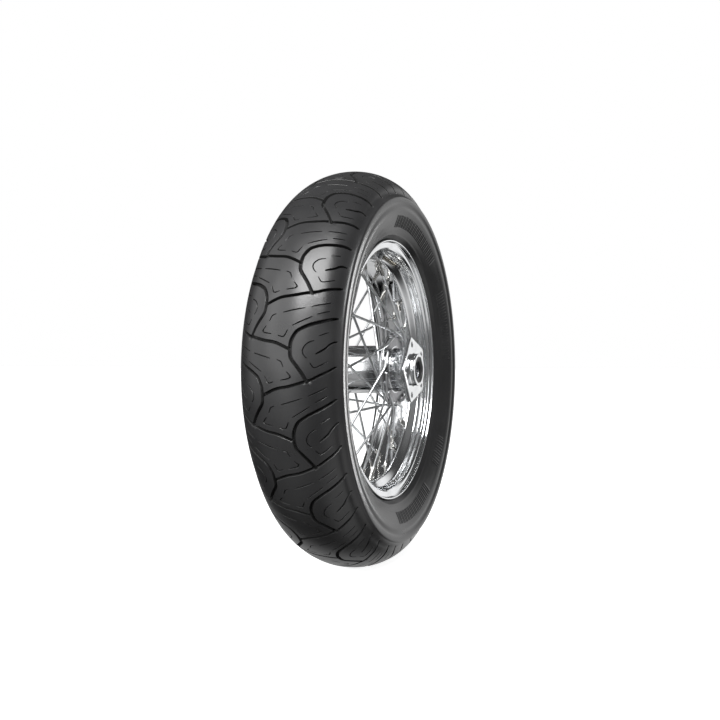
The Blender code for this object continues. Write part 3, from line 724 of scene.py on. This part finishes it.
def build_rim(chrome):
    bm = turned(densified(rim_outline(), 0.003), RIM_SEGMENTS)
    press_dimples(bm)
    rim = add_piece("rim_chromed", bm, chrome, sharp_angle=50.0)
    holes = bmesh.new()
    for family in spoke_families():
        _, edge, rim_point = spoke_points(family)
        way = (rim_point - edge).normalized()
        for turn in family.turns:
            add_rod(holes, turn @ (rim_point - way * 0.004), turn @ (rim_point + way * 0.008),
                    NIPPLE_RADIUS + 2 * GAP, 20)
    add_valve_hole(holes, -0.003, 0.005, GAP)
    combine(rim, [('DIFFERENCE', holes)])
    hand_over(rim, "wheel", "rim_chrome", "rim")


def add_valve_hole(holes, low, high, clearance):
    start, end = (valve_placement() @ Vector((0.0, height, 0.0)) for height in (low, high))
    add_rod(holes, start, end, STEM_RADIUS + clearance, 32)


def build_rim_strip(material):
    low = WELL_RADIUS + 0.0064
    outline = band(low, low + 0.001, -0.015, 0.015, 0.0004, 0.0004)
    strip = add_piece("rim_strip_band", turned(outline, 240), material)
    hole = bmesh.new()
    add_valve_hole(hole, -0.020, 0.010, 2 * GAP)
    combine(strip, [('DIFFERENCE', hole)])
    hand_over(strip, "wheel", "tube_rubber", "rim_strip")


# ---- spokes and nipples ----

def spoke_families():
    """The four sets of ten spokes: each flange has an outer and an inner set."""
    families = []
    for side, y_sign, circle, flange_radius, start in (
            ("brake", -1, BRAKE_HOLE_CIRCLE, BRAKE_FLANGE_RADIUS, SPOKE_PHASE),
            ("drive", 1, DRIVE_HOLE_CIRCLE, DRIVE_FLANGE_RADIUS, SPOKE_PHASE + SPOKE_STEP / 2)):
        for layer, lead, phase in (("outer", 1, start), ("inner", -1, start + SPOKE_STEP)):
            families.append(SimpleNamespace(
                name=f"{side}_side_{layer}_spoke", side=y_sign, outer=layer == "outer",
                circle=circle, flange_radius=flange_radius, sweep=lead * SPOKE_SWEEP,
                turns=[turn_about_axle(phase + k * 2 * SPOKE_STEP) for k in range(SPOKES_PER_FLANGE // 2)]))
    return families


def spoke_points(family):
    """Elbow beside the flange, the point where the shank clears the flange, and the rim."""
    lie = HEAD_THICKNESS + SPOKE_RADIUS + 3 * GAP
    lie_y, rim_y = FLANGE_INNER_Y - lie, INNER_NIPPLE_Y
    if family.outer:
        lie_y, rim_y = FLANGE_OUTER_Y + lie, OUTER_NIPPLE_Y
    elbow = on_circle(family.circle, family.side * lie_y, -family.sweep)
    rim_point = on_circle(WELL_RADIUS - RIM_WALL, family.side * rim_y, 0.0)
    flat_way = Vector((rim_point.x - elbow.x, 0.0, rim_point.z - elbow.z)).normalized()
    edge = elbow.copy()
    if family.outer:
        while Vector((edge.x, edge.z)).length < family.flange_radius + SPOKE_RADIUS:
            edge += flat_way * 0.001
    else:
        edge += flat_way * 0.006
    return elbow, edge, rim_point


def bent(before, corner, after, reach, steps):
    """Points of a bend of a spoke."""
    start = corner + (before - corner).normalized() * reach
    end = corner + (after - corner).normalized() * reach
    return curve(start, corner, end, steps)


def spoke_stations(family):
    elbow, edge, rim_point = spoke_points(family)
    side = family.side
    head_way = -side if family.outer else side
    head_face = FLANGE_INNER_Y - GAP if family.outer else FLANGE_OUTER_Y + GAP
    axle = Vector((0.0, 1.0, 0.0))
    under_head = Vector((elbow.x, side * head_face, elbow.z))
    dome = ((1.0, 0.30), (0.93, 0.60), (0.72, 0.86), (0.40, 1.0), (0.05, 1.0))
    stations = [(under_head + axle * head_way * HEAD_THICKNESS * height, HEAD_RADIUS * width, None)
                for height, width in dome]
    stations.append((under_head, HEAD_RADIUS * 0.9, None))
    stations.append((under_head, SPOKE_RADIUS, None))
    for point in bent(under_head, elbow, edge, 0.0028, 6) + bent(elbow, edge, rim_point, 0.0026, 4):
        stations.append((point, SPOKE_RADIUS, None))
    way = (rim_point - edge).normalized()
    stations.append((rim_point, SPOKE_RADIUS, None))
    stations.append((rim_point + way * (NIPPLE_THROUGH - 0.0004), SPOKE_RADIUS * 0.9, None))
    return stations


def nipple(family):
    """Nipple: a chamfered end, a part with four flats for the key, a round part and the head.  Its
    hole is a recess, so that it doesn't share space with the spoke."""
    _, edge, rim_point = spoke_points(family)
    way = (rim_point - edge).normalized()
    start = rim_point - way * NIPPLE_LENGTH
    bore = SPOKE_RADIUS + GAP / 2
    seat = NIPPLE_LENGTH + NIPPLE_THROUGH
    shape = (
        (seat, bore, None), (0.0, bore, None),
        (0.0, 0.0022, None), (0.0, 0.0026, None), (0.0005, 0.0031, NIPPLE_FLAT - 0.0001),
        (0.0012, NIPPLE_RADIUS, NIPPLE_FLAT), (0.0098, NIPPLE_RADIUS, NIPPLE_FLAT),
        (0.0104, NIPPLE_RADIUS, 0.0031), (0.011, NIPPLE_RADIUS, None),
        (seat - 0.0012, NIPPLE_RADIUS, None), (seat - 0.0002, 0.0041, None),
        (seat + 0.0004, NIPPLE_HEAD_RADIUS, None), (seat + 0.0011, NIPPLE_HEAD_RADIUS, None),
        (seat + 0.0018, 0.0037, None), (seat + 0.002, 0.0024, None),
    )
    return swept([(start + way * height, radius, flat) for height, radius, flat in shape], SPOKE_SIDES)


def build_spokes(steel, nickel):
    for family in spoke_families():
        shank = swept(spoke_stations(family), SPOKE_SIDES)
        for kind, bm, material in (("shank", shank, steel), ("nipple", nipple(family), nickel)):
            mesh = None
            for number, placement in enumerate(family.turns, start=1):
                node = f"{family.name}_{number:02d}"
                if mesh is None:
                    piece = add_piece(f"{node}_{kind}", bm, material, placement)
                    mesh = piece.data
                else:
                    piece = place(f"{node}_{kind}", mesh, placement)
                hand_over(piece, "wheel", "spoke_steel", *([node] if kind == "shank" else []))


# ---- hub ----

def plate_corners(shrink):
    """Outline of a bolt flange as (x, z) points: a pentagon with rounded corners."""
    corners = []
    reach = PLATE_CORNER_RADIUS - PLATE_CORNER_ROUND
    curl = PLATE_CORNER_ROUND - shrink
    for corner in range(5):
        middle = PLATE_PHASE + 72.0 * corner
        for step in range(11):
            angle = radians(middle - 36.0 + 72.0 * step / 10)
            corners.append((reach * cos(radians(middle)) + curl * cos(angle),
                            reach * sin(radians(middle)) + curl * sin(angle)))
    return corners


def plate(face, back):
    """Bolt flange with rounded edges, between two planes across the axle."""
    rounding = 0.001
    inward = copysign(rounding, back - face)
    layers = [(face, 1.0), (face + inward * 0.3, 0.3), (face + inward, 0.0),
              (back - inward, 0.0), (back - inward * 0.3, 0.3), (back, 1.0)]
    bm = bmesh.new()
    rows = [[bm.verts.new((x, y, z)) for x, z in plate_corners(share * rounding)] for y, share in layers]
    return skin(bm, rows, capped=True)


def hub_half(flange_radius, plate_face):
    """One half of the hub's outline, from the barrel out to the boss's end."""
    plate_back = plate_face - PLATE_THICKNESS
    plate_middle = plate_face - PLATE_THICKNESS / 2
    boss_end = plate_face + BOSS_HEIGHT
    return [
        (BARREL_RADIUS, FLANGE_INNER_Y - 0.006, 0.0), (BARREL_RADIUS, FLANGE_INNER_Y, 0.0026),
        (flange_radius, FLANGE_INNER_Y, 0.0022), (flange_radius, FLANGE_OUTER_Y, 0.0022),
        (NECK_RADIUS, FLANGE_OUTER_Y, 0.0026), (NECK_RADIUS, plate_back, 0.0016),
        (NECK_RADIUS + 0.003, plate_back, 0.0), (NECK_RADIUS + 0.003, plate_middle, 0.0),
        (BOSS_RADIUS + 0.0016, plate_middle, 0.0), (BOSS_RADIUS + 0.0016, plate_face, 0.0),
        (BOSS_RADIUS, plate_face + 0.0014, 0.0012), (BOSS_RADIUS, boss_end, 0.001), (0.0, boss_end, 0.0),
    ]


def bearing_shoulder(plate_face):
    return plate_face + BOSS_HEIGHT - 0.001 - SEAL_WIDTH - GAP - BEARING_WIDTH - GAP


def hub_bore():
    """Stepped bore: two bearing pockets, a throat behind each, and the cored middle."""
    pocket = BEARING_RADIUS + GAP
    lead_in = 0.0007
    halves = []
    for plate_face in (BRAKE_PLATE_FACE_Y, DRIVE_PLATE_FACE_Y):
        end = plate_face + BOSS_HEIGHT
        shoulder = bearing_shoulder(plate_face)
        halves.append([
            (0.0, end + 0.002), (pocket + lead_in + 0.002, end + 0.002), (pocket, end - lead_in),
            (pocket, shoulder), (OUTER_SHOULDER_RADIUS, shoulder), (OUTER_SHOULDER_RADIUS, shoulder - 0.006),
            (CORE_RADIUS, shoulder - 0.014)])
    return [(radius, -y) for radius, y in halves[0]] + halves[1][::-1]


def hub_holes():
    """The bolt holes, with countersunk mouths, and the holes for the spokes."""
    holes = bmesh.new()
    for face, back in PLATES:
        outward = copysign(1.0, face)
        shape = ((back - outward * 0.002, BOLT_HOLE_RADIUS), (face - outward * 0.0008, BOLT_HOLE_RADIUS),
                 (face + outward * 0.001, BOLT_HOLE_RADIUS + 0.0018))
        for bolt in range(5):
            angle = PLATE_PHASE + 72.0 * bolt
            swept([(on_circle(BOLT_CIRCLE_RADIUS, y, angle), radius, None) for y, radius in shape], 32, holes)
    for family in spoke_families():
        start, end = (on_circle(family.circle, family.side * y, -family.sweep)
                      for y in (FLANGE_INNER_Y - 0.002, FLANGE_OUTER_Y + 0.002))
        for turn in family.turns:
            add_rod(holes, turn @ start, turn @ end, SPOKE_RADIUS + 2 * GAP, 16)
    return holes


def build_hub(alloy, flange_shade_alloy):
    brake_half = [(r, -y, c) for r, y, c in hub_half(BRAKE_FLANGE_RADIUS, BRAKE_PLATE_FACE_Y)]
    drive_half = hub_half(DRIVE_FLANGE_RADIUS, DRIVE_PLATE_FACE_Y)
    outline = rounded(brake_half[::-1] + drive_half, steps=5)
    hub = add_piece("hub_shell", turned(outline, HUB_SEGMENTS), alloy)
    bore = turned(hub_bore(), HUB_SEGMENTS)
    unions = [('UNION', plate(*faces)) for faces in PLATES]
    combine(hub, unions + [('DIFFERENCE', bore), ('DIFFERENCE', hub_holes())])
    hub.data.materials.append(flange_shade_alloy)
    # The flat faces of the spoke flanges take the second material, whose dark colour is painted shade.
    for face in hub.data.polygons:
        on_shaded_flange = hypot(face.center.x, face.center.z) > NECK_RADIUS + 0.003
        on_shaded_flange &= FLANGE_INNER_Y + 0.001 < abs(face.center.y) < FLANGE_OUTER_Y + 0.001
        if on_shaded_flange and abs(face.normal.y) > 0.9:
            face.material_index = 1
    hand_over(hub, "wheel", "hub_alloy", "hub")


# ---- bearings, seals and the sleeve between the bearings ----

def race_outline(middle, face_radius, shoulder_radius, groove_radius):
    """A race: plain on one side, with a round ball groove on the other."""
    half = BEARING_WIDTH / 2
    chamfer = 0.0005
    corners = [(face_radius, middle - half, chamfer), (face_radius, middle + half, chamfer),
               (shoulder_radius, middle + half, chamfer), (shoulder_radius, middle + 0.0028, 0.0)]
    for a in range(75, -76, -15):
        depth = (groove_radius - shoulder_radius) * cos(radians(a))
        corners.append((shoulder_radius + depth, middle + 0.0026 * sin(radians(a)), 0.0))
    corners += [(shoulder_radius, middle - 0.0028, 0.0), (shoulder_radius, middle - half, chamfer)]
    return rounded(corners, steps=2)


def build_ball_set(side, middle, steel, brass):
    balls = bmesh.new()
    for number in range(BALL_COUNT):
        where = Matrix.Translation(on_circle(BALL_PATH_RADIUS, middle, 360.0 * number / BALL_COUNT))
        bmesh.ops.create_icosphere(balls, subdivisions=3, radius=BALL_RADIUS, matrix=where)
    piece = add_piece(f"{side}_side_bearing_balls", balls, steel, sharp_angle=60.0)
    hand_over(piece, f"{side}_side_balls", "bearing_steel", f"{side}_side_ball_set")
    for name, sign in (("inner", 1.0), ("outer", -1.0)):
        cage = add_piece(f"{side}_side_cage_{name}_half", cage_half(middle, sign), brass)
        hand_over(cage, f"{side}_side_balls", "bearing_steel")


def cage_half(middle, sign):
    """Pressed ribbon that bulges over each ball and lies flat between them."""
    bm = bmesh.new()
    steps = 180
    rows = []
    for k in range(steps):
        angle = 360.0 * k / steps
        from_ball = (angle + 180.0 / BALL_COUNT) % (360.0 / BALL_COUNT) - 180.0 / BALL_COUNT
        run = radians(from_ball) * BALL_PATH_RADIUS
        bulge = sqrt(max((BALL_RADIUS + 0.0002) ** 2 - run ** 2, 0.0))
        low = max(bulge, 0.0001)
        high = bulge + 0.0004
        rows.append([bm.verts.new(on_circle(BALL_PATH_RADIUS + reach, middle + sign * lift, angle))
                     for reach, lift in ((-0.001, low), (0.001, low), (0.001, high), (-0.001, high))])
    return skin(bm, rows, closed=True)


def seal_outline(inner_y, outer_y):
    """Cased seal: a full-width outer wall, a web, a garter ridge and a lip."""
    wall = BEARING_RADIUS - GAP
    inward = copysign(1.0, outer_y - inner_y)
    outside = ((wall, 0.0, 0.0005), (wall - 0.0022, 0.0, 0.0003), (wall - 0.003, 0.0007, 0.0003),
               (SEAL_LIP_RADIUS + 0.0028, 0.0007, 0.0003), (SEAL_LIP_RADIUS + 0.002, 0.0002, 0.0003),
               (SEAL_LIP_RADIUS + 0.001, 0.0006, 0.0003), (SEAL_LIP_RADIUS, 0.0016, 0.0002),
               (SEAL_LIP_RADIUS + 0.0004, 0.0028, 0.0003), (SEAL_LIP_RADIUS + 0.003, 0.0022, 0.0003),
               (wall - 0.0015, 0.0022, 0.0003))
    corners = [(radius, outer_y - inward * depth, rounding) for radius, depth, rounding in outside]
    return rounded([(wall, inner_y, 0.0004), *corners, (wall - 0.0015, inner_y, 0.0003)], steps=3)


def build_bearings(steel, dark_rubber, brass):
    inner_groove = BALL_PATH_RADIUS - BALL_RADIUS - GAP
    outer_groove = BALL_PATH_RADIUS + BALL_RADIUS + GAP
    for side, sign, plate_face in (("brake", -1, BRAKE_PLATE_FACE_Y), ("drive", 1, DRIVE_PLATE_FACE_Y)):
        rest = bearing_shoulder(plate_face) + GAP
        middle = sign * (rest + BEARING_WIDTH / 2)
        seal_inner = sign * (rest + BEARING_WIDTH + GAP)
        for kind, outline, material, body, slot, node in (
                ("inner_ring", race_outline(middle, AXLE_RADIUS, INNER_SHOULDER_RADIUS, inner_groove),
                 steel, "axle_sleeve", "bearing_steel", "inner_race"),
                ("outer_ring", race_outline(middle, BEARING_RADIUS, OUTER_SHOULDER_RADIUS, outer_groove),
                 steel, "wheel", "bearing_steel", "outer_race"),
                ("lip_seal", seal_outline(seal_inner, seal_inner + sign * SEAL_WIDTH),
                 dark_rubber, "wheel", "seal_rubber", "seal")):
            piece = add_piece(f"{side}_side_{kind}", turned(outline, BEARING_SEGMENTS), material)
            hand_over(piece, body, slot, f"{side}_side_{node}")
        build_ball_set(side, middle, steel, brass)


def build_spacer_sleeve(steel):
    outline = band(AXLE_RADIUS, INNER_SHOULDER_RADIUS, -bearing_shoulder(BRAKE_PLATE_FACE_Y),
                   bearing_shoulder(DRIVE_PLATE_FACE_Y), 0.0006, 0.0006)
    piece = add_piece("sleeve_between_bearings", turned(outline, BEARING_SEGMENTS), steel)
    hand_over(piece, "axle_sleeve", "bearing_steel", "bearing_spacer_sleeve")


# ---- valve and inner tube ----

def valve_placement():
    """Matrix whose +Y runs along the valve, square to the rim's ramp and out of the rim."""
    rise = Vector((SEAT_RADIUS - WELL_RADIUS, RAMP_TOP_Y - WELL_HALF_WIDTH)).normalized()
    radial = on_circle(1.0, 0.0, VALVE_ANGLE)
    axle = Vector((0.0, 1.0, 0.0))
    out = radial * -rise.y - axle * rise.x
    tangent = radial.cross(axle)
    matrix = Matrix((tangent, out, tangent.cross(out))).transposed().to_4x4()
    matrix.translation = (radial * (SEAT_RADIUS + WELL_RADIUS) - axle * (RAMP_TOP_Y + WELL_HALF_WIDTH)) / 2
    return matrix


def threaded_stem():
    """Hollow stem with a helical thread on its upper part and on its tip."""
    outline = [(STEM_BORE, STEM_TOP), (STEM_BORE, STEM_FOOT)]
    share = np.arange(VALVE_SIDES) / VALVE_SIDES
    steps = round((STEM_TOP - STEM_FOOT) / (THREAD_PITCH / 5))
    for step in range(steps + 1):
        height = STEM_FOOT + (STEM_TOP - STEM_FOOT) * step / steps
        threaded = 0.0088 < height < STEM_SHOULDER - 0.0006 or height > STEM_SHOULDER + 0.0014
        radius = STEM_RADIUS if height < STEM_SHOULDER else STEM_TIP_RADIUS
        end_cut = 0.0003 if step in (0, steps) else 0.0
        cut = THREAD_DEPTH * threaded * (1.0 - abs(2.0 * ((height / THREAD_PITCH - share) % 1.0) - 1.0))
        outline.append((radius - cut - end_cut, height))
    return turned(outline, VALVE_SIDES)


def hexagon_nut(bore, corner, bottom, top):
    """Hexagonal nut whose corners are chamfered on top."""
    from_flat = np.radians(np.arange(VALVE_SIDES) * 360.0 / VALVE_SIDES % 60.0 - 30.0)
    flat = corner * cos(radians(30.0))
    edge = np.minimum(corner, flat / np.cos(from_flat))
    return turned([(bore, bottom), (bore, top), (flat * 0.94, top), (edge, top - 0.0007),
                   (edge, bottom + 0.0003), (flat * 0.96, bottom)], VALVE_SIDES)


def ribbed_cap():
    """Moulded cap, hollow, with grip ribs and a domed top."""
    sides = 80
    bore = STEM_TIP_RADIUS + GAP
    ceiling = STEM_TOP + GAP
    groove = np.where(np.arange(sides) % 4 < 2, 0.0003, 0.0)
    return turned([(0.0, ceiling), (bore, ceiling), (bore, CAP_BOTTOM), (0.004, CAP_BOTTOM),
                   (0.0042 - groove, CAP_BOTTOM + 0.0002), (0.0042 - groove, CAP_TOP - 0.0022),
                   (0.004 - groove, CAP_TOP - 0.0014), (0.0034, CAP_TOP - 0.0006),
                   (0.002, CAP_TOP - 0.0001), (0.0, CAP_TOP)], sides)


def build_valve(brass, steel, black_plastic):
    bore = STEM_RADIUS + GAP
    core = [(radius, STEM_TOP - depth) for radius, depth in (
        (0.0, 0.0185), (0.0009, 0.0181), (0.0009, 0.0094), (0.0015, 0.009), (0.0015, 0.0035),
        (0.0012, 0.0032), (0.0006, 0.0031), (0.0006, 0.0006), (0.0, 0.0005))]
    washer = band(bore, 0.0068, 0.0026, 0.0036, 0.0002, 0.0003)
    nut = hexagon_nut(bore, 0.0066, 0.004, 0.0082)
    for node, look, bm, material, slot, sharp_angle in (
            ("valve_stem", "threaded", threaded_stem(), brass, "valve_brass", 60.0),
            ("valve_core", "insert", turned(core, 24), brass, "valve_brass", 32.0),
            ("valve_washer", "plated", turned(washer, VALVE_SIDES), steel, "spoke_steel", 32.0),
            ("valve_nut", "hexagon", nut, steel, "spoke_steel", 20.0),
            ("valve_cap", "ribbed", ribbed_cap(), black_plastic, "cap_plastic", 25.0)):
        piece = add_piece(f"{node}_{look}", bm, material, valve_placement(), sharp_angle)
        hand_over(piece, "wheel", slot, node)


# ---- light, floor and camera ----

def build_surroundings():
    floor_mesh = bmesh.new()
    bmesh.ops.create_grid(floor_mesh, x_segments=8, y_segments=8, size=30.0)
    look = ((0.56, 0.56, 0.56), (0.60, 0.60, 0.60), 0.90, 0.90)
    material, tree, shader = clouded("pale_floor", *look, 2.0, 4.0)
    plug(tree, shader, {"Emission Color": (1.0, 1.0, 1.0, 1.0), "Emission Strength": 0.92})
    floor = add_piece("floor", floor_mesh, material, Matrix.Translation((0.0, 0.0, -TYRE_RADIUS - 0.0002)))
    floor.visible_glossy = False
    floor.visible_diffuse = False


def add_softbox(name, where, target, size, power):
    light = bpy.data.lights.new(name, 'AREA')
    light.shape = 'RECTANGLE'
    light.size, light.size_y = size
    light.energy = power
    return place(name, light, facing(where, Vector(where) - Vector(target)))


def bright_area(tree, direction, azimuth, elevation, edge, core, strength):
    """Brightness of a soft round area of the studio: full inside the core angle, none beyond the edge."""
    turn = Matrix.Rotation(radians(azimuth), 3, 'Z') @ Matrix.Rotation(-radians(elevation), 3, 'Y')
    cosine = add_node(tree, "VectorMath", {0: direction, 1: turn.col[0]}, "Value", operation='DOT_PRODUCT')
    return add_node(tree, "MapRange", {
        "Value": cosine, "To Max": strength, "From Min": cos(radians(edge)),
        "From Max": cos(radians(core))}, "Result", interpolation_type='SMOOTHSTEP')


def build_studio():
    """Dark room with a few bright areas, seen in reflections only: the room itself is white."""
    world = bpy.data.worlds.new("studio")
    world.use_nodes = True
    tree = world.node_tree
    direction = add_node(tree, "TexCoord", {}, "Generated")
    areas = [bright_area(tree, direction, *area) for area in STUDIO_AREAS]
    light = areas[0]
    for area in areas[1:]:
        light = add_node(tree, "Math", {0: light, 1: area}, "Value", operation='ADD')
    seen = add_node(tree, "LightPath", {}, "Is Camera Ray")
    white = (1.0, 1.0, 1.0, 1.0)
    room = add_node(tree, "Mix", {"Factor": seen, "A": light, "B": white}, "Result", data_type='RGBA')
    plug(tree, tree.nodes["Background"], {"Color": room, "Strength": 1.0})
    bpy.context.scene.world = world
    bpy.context.scene.view_settings.view_transform = 'Standard'


def build_lights():
    """A large softbox before and above the tread, a fill without reflections, a strip for the edge."""
    add_softbox("key_softbox", (-1.19, -0.55, 1.37), (-0.28, -0.02, 0.14), (1.50, 1.00), 62.0)
    fill = add_softbox("fill_softbox", (-2.0, 0.3, -0.1), (0.0, 0.0, 0.0), (1.5, 1.5), 20.0)
    fill.visible_glossy = False
    edge = add_softbox("edge_softbox", (0.072, -0.224, 0.0), (-0.27, -0.08, 0.0), (0.12, 0.44), 0.04)
    edge.data.spread = radians(24.0)
    edge.visible_camera = False


def build_camera():
    azimuth = radians(CAMERA_AZIMUTH)
    elevation = radians(CAMERA_ELEVATION)
    back = Vector((sin(azimuth) * cos(elevation), -cos(azimuth) * cos(elevation),
                   sin(elevation)))
    data = bpy.data.cameras.new("camera")
    data.lens = CAMERA_LENS
    data.sensor_width = 36.0
    data.shift_x, data.shift_y = CAMERA_SHIFT
    bpy.context.scene.camera = place("camera", data, facing(back * CAMERA_DISTANCE, back))


def build_wheel():
    tyre = rubber("tyre_rubber_satin", (0.014, 0.014, 0.0145), (0.020, 0.020, 0.0205), 0.27, 0.32, 0.00012)
    # Groove rubber: matt, and darker than the tread as painted shade in the deep grooves.
    groove = rubber("groove_rubber_matt_painted_shade", (0.005, 0.005, 0.005), (0.009, 0.009, 0.009), 0.75, 0.90, 0.00006)
    tube = rubber("tube_rubber_matt", (0.030, 0.030, 0.031), (0.046, 0.046, 0.048), 0.62, 0.76, 0.00010)
    seal = rubber("seal_rubber_black", (0.016, 0.016, 0.017), (0.026, 0.026, 0.027), 0.40, 0.52, 0.00005)
    chrome = metal("rim_chrome_plate", (0.74, 0.75, 0.76), (0.84, 0.85, 0.86), 0.09, 0.14, 25.0)
    steel = metal("spoke_steel_polished", (0.52, 0.53, 0.54), (0.64, 0.65, 0.66), 0.26, 0.36, 90.0, 0.00002)
    nickel = metal("nipple_nickel", (0.70, 0.69, 0.66), (0.80, 0.79, 0.76), 0.14, 0.24, 120.0, 0.00002)
    ground = metal("bearing_steel_ground", (0.55, 0.56, 0.58), (0.66, 0.67, 0.69), 0.12, 0.22, 150.0, 0.00001)
    brass = metal("valve_brass_plated", (0.34, 0.32, 0.28), (0.44, 0.42, 0.37), 0.18, 0.30, 160.0, 0.00002)
    alloy = turned_metal("hub_alloy_polished", (0.76, 0.77, 0.78), (0.86, 0.87, 0.88), 0.08, 0.16, 5000.0)
    # Flange faces: the turned rings and the roughness are real, the dark colour is painted shade.
    brushed_alloy_painted_shade = turned_metal("hub_alloy_brushed_painted_shade", (0.20, 0.20, 0.21), (0.30, 0.30, 0.31), 0.22, 0.32, 2500.0)
    black = plastic("cap_plastic_black", (0.010, 0.010, 0.011), (0.022, 0.022, 0.023), 0.30, 0.45)
    build_tyre(tyre, groove)
    build_rim(chrome)
    build_rim_strip(tube)
    build_spokes(steel, nickel)
    build_hub(alloy, brushed_alloy_painted_shade)
    build_bearings(ground, seal, brass)
    build_spacer_sleeve(ground)
    build_valve(brass, steel, black)
    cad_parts["inner_tube"].material_slots[0].material = tube


build_wheel()
build_surroundings()
build_studio()
build_lights()
build_camera()
